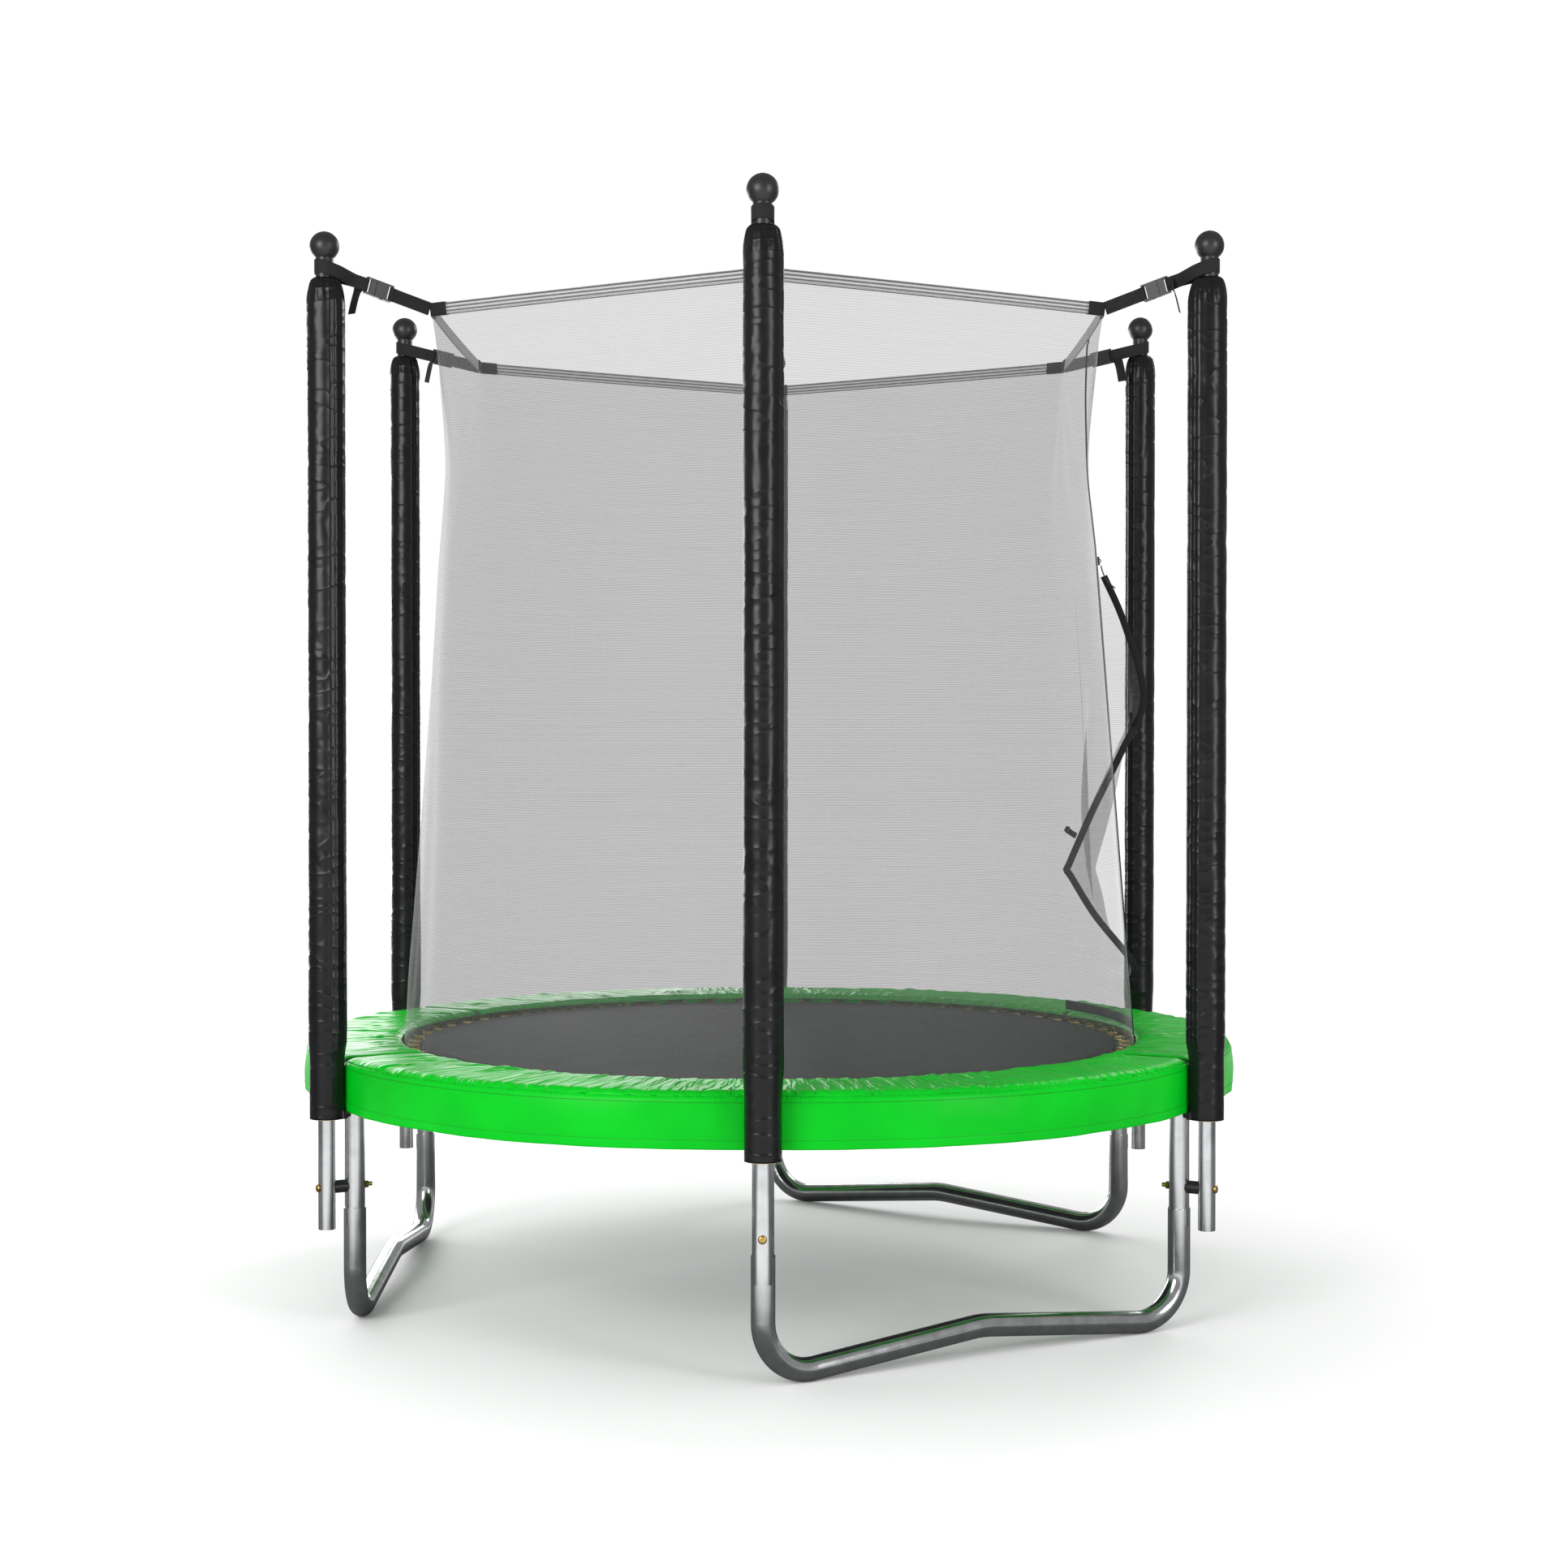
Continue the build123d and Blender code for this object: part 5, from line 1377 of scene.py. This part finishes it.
def pad_panel(sizes, index, inset=0.0):
    """Foam-filled panel of the pad between two poles, closed all round; an inset makes it thinner."""
    near_end = np.array([0.026, 0.06, 0.10, 0.16, 0.24, 0.34, 0.46, 0.60])
    between = steps(0.85, STEP - 0.85, 0.3)
    angles = index * STEP + np.concatenate([near_end, between, STEP - near_end[::-1]])
    rows = pad_section(sizes, angles)
    radii = np.array([r for r, _ in rows])
    heights = np.array([np.broadcast_to(z, angles.shape) for _, z in rows], float)
    columns = np.broadcast_to(angles, radii.shape)
    on_top = np.clip((heights - (sizes.pad_top - 0.006)) / 0.004, 0, 1)
    edge = np.clip(np.minimum(columns - index * STEP, (index + 1) * STEP - columns) / 0.6, 0, 1)
    inner_share = np.clip((radii - sizes.pad_inner) / 0.03, 0, 1)
    soft = edge * (2 - edge)
    middle = 0.5 * (sizes.pad_top + sizes.pad_bottom)
    heights = middle + (heights - middle) * (0.40 + 0.60 * soft) - inset * on_top
    if not inset:
        heights = heights + on_top * inner_share * soft * pad_creases(columns, radii, index)
    slack = 0.0005 * (np.sin(0.9 * columns) + np.sin(0.37 * columns + radii * 40))
    heights = heights + on_top * soft * slack
    grid = polar_grid(columns, radii, heights)
    count, across = grid.shape[:2]
    faces = []
    for i in range(count):
        for j in range(across - 1):
            k = (i + 1) % count
            faces.append((i * across + j, i * across + j + 1, k * across + j + 1, k * across + j))
    for j, flip in ((0, False), (across - 1, True)):
        cap = [i * across + j for i in range(count)]
        middle_point = len(cap) // 2
        for i in range(middle_point - 1):
            quad = (cap[i], cap[i + 1], cap[count - 2 - i], cap[count - 1 - i])
            if len(set(quad)) == 4:
                faces.append(quad[::-1] if flip else quad)
    u = np.broadcast_to(np.radians(angles) * PAD_UV_RADIUS, radii.shape)
    uv = np.stack([u, radii], axis=-1)
    return make_mesh(f"pad_{index}", grid, [f[::-1] for f in faces], uv)


class MakeSleeves(bpy.types.Operator):
    """Make the foam tubes of the poles and the gathered sleeves over them"""
    bl_idname = "trampoline.make_sleeves"
    bl_label = "Pole Sleeves"

    def execute(self, context):
        sizes = context.scene.trampoline_sizes
        tree = tree_named("Gathered Sleeve", sleeve_tree)
        for i, (seam, bulge, bulge_turn) in enumerate(SEAM_TURNS):
            empty = bpy.data.meshes.new("sleeve")
            sleeve = run_tree(
                new_object(f"pole_sleeve_cover_{i + 1}", empty), tree,
                Radius=sizes.sleeve_radius - 0.0006, Bottom=sizes.sleeve_bottom, Top=sizes.sleeve_top,
                Bulge=bulge * MM, Bulge_Turn=math.radians(bulge_turn), Pad_Top=sizes.pad_top,
                Seed=3.7 * (i + 1), Material=finishes()["sleeve"])
            turn = Matrix.Rotation(math.radians(i * STEP + seam), 4, "Z")
            sleeve.data.transform(Matrix.Translation(polar(i * STEP, sizes.pole_radius, 0)) @ turn)
            wall = sleeve.modifiers.new("Cloth", "SOLIDIFY")
            wall.thickness, wall.offset = 0.0010, -1.0
            fix(sleeve, "frame", "sleeve_vinyl", f"pole_sleeve_{i + 1}")
        # Section of a foam tube: radius, and height above its foot
        section = [(0.0166, -0.0040), (0.0172, -0.0046), (0.0280, -0.0046), (0.0288, -0.0036),
                   (0.0276, 0.010)]
        section += [(0.0276, z) for z in steps(0.04, 1.498, 0.09)] + [(0.0268, 1.503), (0.0166, 1.503)]
        around = 40
        points, faces = [], []
        for r, z in section:
            points += [tuple(polar(a, r, 0.4005 + z)) for a in np.arange(around) * 360 / around]
        for ring in range(len(section)):
            for j in range(around):
                a, b = ring * around, (ring + 1) % len(section) * around
                k = (j + 1) % around
                faces.append((a + j, a + k, b + k, b + j))
        tube = make_mesh("foam", points, faces)
        tube.transform(Matrix.Translation(polar(0, sizes.pole_radius, 0)))
        tubes = joined("pole_foam_tubes", turned_copies(tube, station_angles()))
        foam = new_object("pole_foam_tubes", tubes, "foam")
        fix(foam, "frame", "foam", "pole_foam")
        return {"FINISHED"}


class MakeNet(bpy.types.Operator):
    """Make the safety net's sides, lower band and hem"""
    bl_idname = "trampoline.make_net"
    bl_label = "Safety Net"

    def execute(self, context):
        sizes = context.scene.trampoline_sizes
        hem_bottom = sizes.net_top - sizes.hem_height
        tall = steps(sizes.band_top, hem_bottom, 0.012)
        sides = net_sheet("net_sides", steps(2 * STEP, 7 * STEP, 1.0), tall)
        sides = new_object("net_sides", sides, "net")
        fix(sides, "frame", "net_mesh", "net_panels")
        before, after = sizes.zip_angle - zip_half_angle(), sizes.zip_angle + zip_half_angle()
        parts = [
            net_sheet("front", steps(STEP, before, 1.0), tall),
            net_sheet("behind", steps(sizes.hinge_angle, 2 * STEP, 1.0), tall),
            net_sheet("above", steps(after, sizes.hinge_angle, 1.0),
                      steps(sizes.door_top, hem_bottom, 0.012)),
        ]
        door_side = new_object("net_door_side", joined("net_door_side", parts), "net")
        fix(door_side, "frame", "net_mesh", "net_door_panel")
        low = steps(sizes.net_bottom, sizes.band_top, 0.008)
        band = net_sheet("net_band", steps(after, 360 + before, 1.0), low)
        band = new_object("net_band", band, "net")
        stretch_to_mat(band)
        fix(band, None, "net_mesh", "net_lower_band")

        angles = steps(0, 360, 1.0)
        heights = steps(hem_bottom - 0.001, sizes.net_top, 0.004)
        outer, inner = net_points(angles, heights, 0.0014), net_points(angles, heights, -0.0014)
        u, v = np.meshgrid(np.radians(angles) * NET_UV_RADIUS, heights - heights[0])
        hem = shell_mesh("net_hem", outer, inner, np.stack([u, v], axis=-1))
        hem = new_object("net_hem", hem, "hem")
        fix(hem, "frame", "hem_tape", "net_top_hem")
        lines = [net_points(angles, [h], 0.0016)[0] for h in (hem_bottom + 0.002, sizes.net_top - 0.003)]
        seam = stitched_lines("net_hem_stitching", lines, "thread", 0.006, 0.0007)
        fix(seam, "frame", "hem_tape")

        return {"FINISHED"}


def door_rows(heights):
    """Hinge, fold and free-edge points of the open door at each height."""
    sizes = bpy.context.scene.trampoline_sizes
    after = sizes.zip_angle + zip_half_angle()
    halfway = (after + sizes.hinge_angle) / 2

    def on_net(angle, z):
        return np.array(polar(angle, float(net_radius(angle, z)), z))

    ends = [(z, *on_net(after, z)[:2]) for z in (sizes.band_top, sizes.door_top)]
    known = [ends[0]] + [tuple(c * MM for c in row) for row in DOOR_EDGE] + [ends[1]]
    line = smooth_line([(x, y, z) for z, x, y in known], 0.01)
    order = np.argsort(line[:, 2])
    rows = []
    for z in heights:
        edge = np.array([np.interp(z, line[order, 2], line[order, k]) for k in (0, 1)] + [z])
        closed, hinge, fold = on_net(after, z), on_net(sizes.hinge_angle, z), on_net(halfway, z)
        rows.append((hinge, fold + (edge - closed) * 0.35, edge))
    return rows


def fold_depth(line, side, fold, width):
    """Depth of the folds that makes a row of cloth as long as its width."""
    low, high = 0.0, 0.045
    for _ in range(16):
        depth = (low + high) / 2
        row = line + side * (fold * depth)[:, None]
        if np.linalg.norm(np.diff(row, axis=0), axis=1).sum() < width:
            low = depth
        else:
            high = depth
    return low


class MakeDoor(bpy.types.Operator):
    """Make the open door's flap, its binding and tabs, and the zip"""
    bl_idname = "trampoline.make_door"
    bl_label = "Door and Zip"

    def execute(self, context):
        sizes = context.scene.trampoline_sizes
        heights = steps(sizes.band_top, sizes.door_top, 0.010)
        rows = door_rows(heights)
        share = steps(0, 1, 1 / 44)
        width = math.radians(sizes.hinge_angle - sizes.zip_angle) * 0.676
        lines, folds, sides, depths = [], [], [], []
        for z, (hinge, fold, edge) in zip(heights, rows):
            line = np.array([
                hinge * (1 - s) * (1 - 2 * s) + fold * 4 * s * (1 - s) + edge * s * (2 * s - 1)
                for s in share])
            lines.append(line)
            wave = 2.4 * np.pi * share + 0.5 * math.sin(4.6 * z)
            folds.append(np.sin(np.pi * share) ** 0.7 * np.sin(wave))
            sides.append(unit(np.cross(edge - hinge, (0, 0, 1.0))))
            depths.append(fold_depth(line, sides[-1], folds[-1], 0.75 * width))
        depths = np.convolve(np.pad(depths, 4, "edge"), np.ones(9) / 9, "valid")
        depth = (np.array(folds) * depths[:, None])[..., None]
        points = np.array(lines) + np.array(sides)[:, None, :] * depth
        faces = grid_faces(*points.shape[:2], flip=True)
        flap = make_mesh("door_flap_net", points, faces, grid_uv(points))
        flap = new_object("door_flap_net", flap, "net")
        fix(flap, "frame", "net_mesh", "door_flap")

        reach = 0.014
        low, high = 0.634, 1.436
        rims = door_rows(steps(low, high, 0.006))
        edges = np.array([edge for _, _, edge in rims])
        run = unit(np.gradient(edges, axis=0))
        along = unit(np.cross((0.25, 1.0, 0.0), run))
        path = edges + along * reach / 2
        binding = ribbon_mesh("door_webbing", path, along, reach, 0.0026)
        binding = new_object("door_webbing", binding, "webbing")
        fix(binding, "frame", "webbing", "door_binding")

        tabs, lines = [], []
        for height in (1.135, 0.905):
            (_, fold, edge), = door_rows([height])
            out = unit(unit((edge - fold) * (1, 1, 0)) + (-0.7, 0.0, 0.9))
            root = edge + out * 0.004
            tip = edge + out * (reach + 0.022)
            middle = (root + tip) / 2 + (0, 0, -0.001)
            path = smooth_line([root, middle, tip], 0.003)
            tabs.append(ribbon_mesh("tab", path, (0, 0, 1), 0.012, 0.0030))
            knob = tip - out * 0.007
            side = unit(np.cross(out, (0, 0, 1.0)))
            path = smooth_line([knob - side * 0.0035, knob, knob + side * 0.0035], 0.002)
            tabs.append(ribbon_mesh("bar", path, (0, 0, 1), 0.014, 0.006))
        tabs = new_object("door_closing_tabs", joined("door_closing_tabs", tabs), "webbing")
        fix(tabs, "frame", "webbing", "door_tabs")

        foot_angles = steps(sizes.zip_angle + 1.2, 119.0, 0.6)
        foot_heights = steps(0.515, 0.535, 0.005)
        outer = net_points(foot_angles, foot_heights, 0.0012)
        inner = net_points(foot_angles, foot_heights, -0.0012)
        band = new_object("door_foot_webbing", shell_mesh("door_foot_webbing", outer, inner), "webbing")
        stretch_to_mat(band)
        fix(band, None, "webbing")

        track = zip_tape(sizes)
        stretch_to_mat(track)
        fix(track, None, "webbing", "zip_track")
        return {"FINISHED"}


def zip_tape(sizes):
    """Zip tape in two halves with its row of teeth, as one piece."""
    heights = np.concatenate([steps(*ZIP_STRAIGHT, 0.02), steps(1.510, sizes.net_top - 0.0005, 0.008)])
    over_hem = np.clip((heights - sizes.net_top + sizes.hem_height + 0.012) / 0.010, 0, 1)
    radii = zip_radius(heights) + 0.0027 * over_hem
    out = np.array(polar(sizes.zip_angle, 1.0, 0.0))
    side = np.array(polar(sizes.zip_angle + 90, 1.0, 0.0))
    centre = radii[:, None] * out + np.stack([0 * heights, 0 * heights, heights], axis=1)
    halves = [ribbon_mesh("half", centre + side * s * 0.0054, side, 0.0102, 0.0014) for s in (-1, 1)]
    line = bpy.data.meshes.new("teeth")
    line.from_pydata([tuple(p) for p in centre], [(i, i + 1) for i in range(len(centre) - 1)], [])
    teeth = run_tree(new_object("zip_teeth_line", line), tree_named("Zip Teeth", teeth_tree),
                     Material=finishes()["webbing"])
    rows = teeth.data.copy()
    bpy.data.objects.remove(teeth)
    return new_object("zip_tape", joined("zip_tape", halves + [rows]), "webbing")


def strap_frame(sizes):
    """Head of a strap at the front, and its directions along, beside and across the webbing."""
    foot = np.array((0.0, -0.7387, sizes.net_top - sizes.hem_height / 2))
    head = np.array((0.0, -sizes.pole_radius, 1.982))
    along = unit(foot - head)
    across = np.array((0.0, -along[2], along[1]))
    return head, along, np.cross(across, along), across


class MakeStraps(bpy.types.Operator):
    """Make the straps that hang the net on the poles, and its corner webbing"""
    bl_idname = "trampoline.make_straps"
    bl_label = "Straps"

    def execute(self, context):
        sizes = context.scene.trampoline_sizes
        head, along, beside, across = strap_frame(sizes)
        up = np.array((0.0, 0.0, 1.0))

        def spot(x, y, z=0.0):
            return head + along * x + beside * y + across * z

        # Along the strap: the middle of the bar in the buckle's plug
        bar = 0.08475
        ring = [(0.084, 0.0029), (0.074, 0.0022), (0.060, 0.0012), (0.042, 0.0090), (0.024, 0.0172)]
        half_turn = np.radians(np.arange(0, -181, -20))
        ring += [(0.0188 * math.sin(t), 0.0188 * math.cos(t)) for t in half_turn]
        ring += [(x, -y) for x, y in reversed(ring[:5])]
        ring += [(bar + 0.0036, 0.0)]
        loop = np.array([np.append(spot(x, y), x) for x, y in ring])
        path = smooth_line(np.concatenate([loop, loop[:1]]), 0.003)[:-1]
        upright = np.clip((0.05 - path[:, 3:]) / 0.03, 0, 1)
        widths = unit(up * upright + across * (1 - upright))
        strap = ribbon_mesh("strap", path[:, :3], widths, sizes.webbing, sizes.ply, closed=True)

        tail_path = smooth_line([
            spot(0.0835, 0.0048), spot(0.0800, 0.0056, -0.001), spot(0.0764, 0.0068, -0.005),
            spot(0.0742, 0.0080, -0.0125), spot(0.0732, 0.0086, -0.023), spot(0.0730, 0.0086, -0.038),
            spot(0.0736, 0.0080, -0.060)], 0.003)
        fall = np.linspace(0, 1, len(tail_path))[:, None]
        twist = np.clip((fall - 0.12) / 0.45, 0, 1)
        tail_width = unit(across * (1 - twist) + (beside * 0.95 - along * 0.25) * twist)
        tail = ribbon_mesh("tail", tail_path, tail_width, sizes.webbing * 0.92, sizes.ply)
        mesh = joined("strap_and_tail", [strap, tail])
        for i, copy in enumerate(turned_copies(mesh, station_angles())):
            piece = new_object(f"net_strap_webbing_{i + 1}", copy, "webbing")
            fix(piece, f"strap_{i + 1}", "webbing", f"net_strap_{i + 1}")

        # Along the strap: the end of the buckle's socket, and the middle of the bar in it
        end = 0.1368
        centre = end - 0.00175
        reach = float(np.linalg.norm(head - (0, -0.7420, sizes.net_top - 0.011)))
        fold = [(reach - 0.001, 0.0012), (reach - 0.02, 0.0010), (end + 0.012, 0.0011), (end + 0.002, 0.0026),
                (centre, 0.0029), (centre - 0.0034, 0.0), (centre, -0.0029), (end + 0.002, -0.0026),
                (end + 0.012, -0.0011), (reach - 0.02, -0.0010), (reach - 0.001, -0.0012)]
        path = smooth_line([spot(x, y) for x, y in fold], 0.002)
        pieces = [ribbon_mesh("fold", path, across, sizes.webbing, sizes.ply)]
        wing = math.degrees(0.033 / 0.74)
        angles = steps(-wing, wing, wing / 8)
        heights = steps(sizes.net_top - 0.0235, sizes.net_top + 0.0012, 0.006)
        for offset in (0.0024, -0.0024):
            face = net_points(angles, heights, offset + 0.0009)
            back = net_points(angles, heights, offset - 0.0009)
            pieces.append(shell_mesh("wing", face, back))
        mesh = joined("corner", pieces)
        corners = joined("net_corner_webbing", turned_copies(mesh, station_angles()))
        corners = new_object("net_corner_webbing", corners, "webbing")
        fix(corners, "frame", "webbing", "net_corner_tabs")
        return {"FINISHED"}


class MakePullCord(bpy.types.Operator):
    """Make the pull cord of the zip's slider"""
    bl_idname = "trampoline.make_pull_cord"
    bl_label = "Zip Pull Cord"

    def execute(self, context):
        sizes = context.scene.trampoline_sizes
        slider, diameter = 1.468, 0.0026
        base = float(zip_line_radius(slider))
        points = [polar(sizes.zip_angle, base + out * MM, slider - drop * MM)
                  for out, drop in PULL_ROUTE]
        curve = bpy.data.curves.new("zip_pull", "CURVE")
        curve.dimensions = "3D"
        spline = curve.splines.new("NURBS")
        spline.points.add(len(points) - 1)
        for point, place_at in zip(spline.points, points):
            point.co = (*place_at, 1.0)
        spline.order_u = 3
        spline.use_endpoint_u = True
        curve.bevel_depth = diameter / 2
        curve.bevel_resolution = 4
        curve.resolution_u = 16
        curve.use_fill_caps = True
        cord = bpy.data.objects.new("zip_pull", curve)
        context.scene.collection.objects.link(cord)
        curve.materials.append(finishes()["thread"])
        fix(cord, "zip_slider", "webbing", "zip_pull_cord")
        return {"FINISHED"}


def zip_line_radius(height):
    """Radius of the straight part of the zip line, from the net's plain profile."""
    rows = np.array(NET_PROFILE, float) * MM
    zip_angle = bpy.context.scene.trampoline_sizes.zip_angle
    turn = math.radians(zip_angle % STEP - STEP / 2)
    ends = []
    for z in ZIP_STRAIGHT:
        bow, centre = side_arc(*(float(np.interp(z, rows[:, 0], rows[:, k])) for k in (1, 2)))
        ends.append(centre * math.cos(turn) + math.sqrt(bow ** 2 - (centre * math.sin(turn)) ** 2))
    low, high = ZIP_STRAIGHT
    return ends[0] + (height - low) / (high - low) * (ends[1] - ends[0])


def floor_finish(colour):
    """Pale floor that glows a little, which lightens the shadow under the trampoline; far away it is plain
    light. Shiny things see a painted reflection: its near part and its sides darker, with a bright card in
    front and behind.
    """
    material, tree, shader = new_material(
        "floor", Roughness=0.9, Specular_IOR_Level=0.1, Emission_Strength=1.0)
    patches = mottle(tree, place(tree), 1.5, 2.0)
    away = add(tree, "ShaderNodeVectorMath", {"operation": "LENGTH"}, {0: place(tree)})
    away = away.outputs["Value"]
    # Painted light: the floor glows, weakly near the trampoline and more further out, which lightens the
    # shadow it casts.
    shadow_lifting_glow = times_plus(tree, away, 0.5, -0.6, clamp=True)
    # Painted reflection: glossy rays see the floor dark near the trampoline and to its sides, and a bright
    # card in front and behind.
    spot = parts(tree, place(tree))
    ahead = maths(tree, "ABSOLUTE", maths(tree, "SINE", maths(tree, "ARCTAN2", spot[1], spot[0])))
    painted_reflection_card = times(tree, times_plus(tree, ahead, 3.2, -1.7, clamp=True),
                 times_plus(tree, away, 1.6, -1.9, clamp=True))
    shiny = add(tree, "ShaderNodeLightPath").outputs["Is Glossy Ray"]
    dim = times(tree, shiny, times_plus(tree, painted_reflection_card, -0.86, 0.86))
    far = times_plus(tree, away, 0.7, -1.2, clamp=True)
    plain = shades(tree, patches, darker(colour, 0.99), colour)
    pale = add(tree, "ShaderNodeMix", {"data_type": "RGBA"}, {
        0: maths(tree, "MAXIMUM", dim, far), 6: plain})
    pale.inputs[7].default_value = (0.0, 0.0, 0.0, 1.0)
    bright = times(tree, minus(tree, 1.0, dim),
                   times_plus(tree, far, 0.80, times_plus(tree, shadow_lifting_glow, 0.18, 0.04)))
    dress(tree, shader, Base_Color=pale.outputs[2], Emission_Color=bright)
    return material


def light_studio(scene):
    """World and lamps; the world is dimmer to shiny things than to the camera."""
    scene.world = bpy.data.worlds.new("studio")
    scene.world.use_nodes = True
    sky = scene.world.node_tree.nodes["Background"]
    sky.inputs["Color"].default_value = (1.0, 1.0, 1.0, 1.0)
    tree = scene.world.node_tree
    rays = add(tree, "ShaderNodeLightPath").outputs
    lit = times_plus(tree, rays["Is Camera Ray"], 0.2, 0.82)
    tree.links.new(times_plus(tree, rays["Is Glossy Ray"], -0.52, lit), sky.inputs["Strength"])
    for name, at, size, power in LAMPS:
        light = bpy.data.lights.new(name, "AREA")
        light.shape, light.size, light.size_y, light.energy = "RECTANGLE", size[0], size[1], power
        lamp = bpy.data.objects.new(name, light)
        lamp.location = at
        lamp.rotation_euler = (Vector((0, 0, 1.0)) - Vector(at)).to_track_quat("-Z", "Y").to_euler()
        scene.collection.objects.link(lamp)


def place_camera(scene):
    """Camera, from its distance, height and turn round the trampoline, and where it aims."""
    scene.view_settings.view_transform = "Standard"
    camera = bpy.data.cameras.new("camera")
    camera.sensor_width = 36.0
    camera.lens = 57.66
    camera.clip_end = 100.0
    distance, height, around = 5.1639, 1.0981, 0.012112
    aim, pitch, roll = around - 0.0057648, 0.0159589, 0.00027
    level = math.cos(pitch)
    ahead = Vector((-math.sin(aim) * level, math.cos(aim) * level, -math.sin(pitch)))
    right = Vector((math.cos(aim), math.sin(aim), 0.0))
    upward = right.cross(ahead)
    right, upward = (right * math.cos(roll) + upward * math.sin(roll),
                     upward * math.cos(roll) - right * math.sin(roll))
    eye = bpy.data.objects.new("camera", camera)
    turn = Matrix((right, upward, -ahead)).transposed().to_4x4()
    place_at = Vector((distance * math.sin(around), -distance * math.cos(around), height))
    eye.matrix_world = Matrix.Translation(place_at) @ turn
    scene.collection.objects.link(eye)
    scene.camera = eye


class MakeStage(bpy.types.Operator):
    """Make the floor, the lights and the camera"""
    bl_idname = "trampoline.make_stage"
    bl_label = "Stage, Lights and Camera"

    def execute(self, context):
        scene = context.scene
        floor = make_mesh(
            "floor", [(-30, -30, 0), (30, -30, 0), (30, 30, 0), (-30, 30, 0)], [(0, 1, 2, 3)])
        floor = new_object("floor", floor)
        floor.data.materials.append(floor_finish(scene.trampoline_colours.floor))
        light_studio(scene)
        place_camera(scene)
        return {"FINISHED"}


# --------------------------------------------------------------------------------- panel
STEPS = (MakeStage, MakePullCord, MakeSteelwork, MakeSprings, MakeMat, MakePad, MakeSleeves, MakeNet,
         MakeDoor, MakeStraps)


class TrampolinePanel(bpy.types.Panel):
    """Sizes, colours and steps of the trampoline"""
    bl_idname = "VIEW3D_PT_trampoline"
    bl_label = "Trampoline"
    bl_space_type = "VIEW_3D"
    bl_region_type = "UI"
    bl_category = "Trampoline"

    def draw(self, context):
        for group in (context.scene.trampoline_sizes, context.scene.trampoline_colours):
            box = self.layout.box()
            for name in type(group).__annotations__:
                box.prop(group, name)
        for step in STEPS:
            self.layout.operator(step.bl_idname)


CLASSES = (TrampolineSizes, TrampolineColours, TrampolinePanel) + STEPS


def register():
    for cls in CLASSES:
        bpy.utils.register_class(cls)
    bpy.types.Scene.trampoline_sizes = bpy.props.PointerProperty(type=TrampolineSizes)
    bpy.types.Scene.trampoline_colours = bpy.props.PointerProperty(type=TrampolineColours)


def unregister():
    del bpy.types.Scene.trampoline_colours
    del bpy.types.Scene.trampoline_sizes
    for cls in reversed(CLASSES):
        bpy.utils.unregister_class(cls)


def main():
    """Builds the whole scene."""
    register()
    for step in STEPS:
        group, name = step.bl_idname.split(".")
        getattr(getattr(bpy.ops, group), name)()


if __name__ == "__main__":
    main()
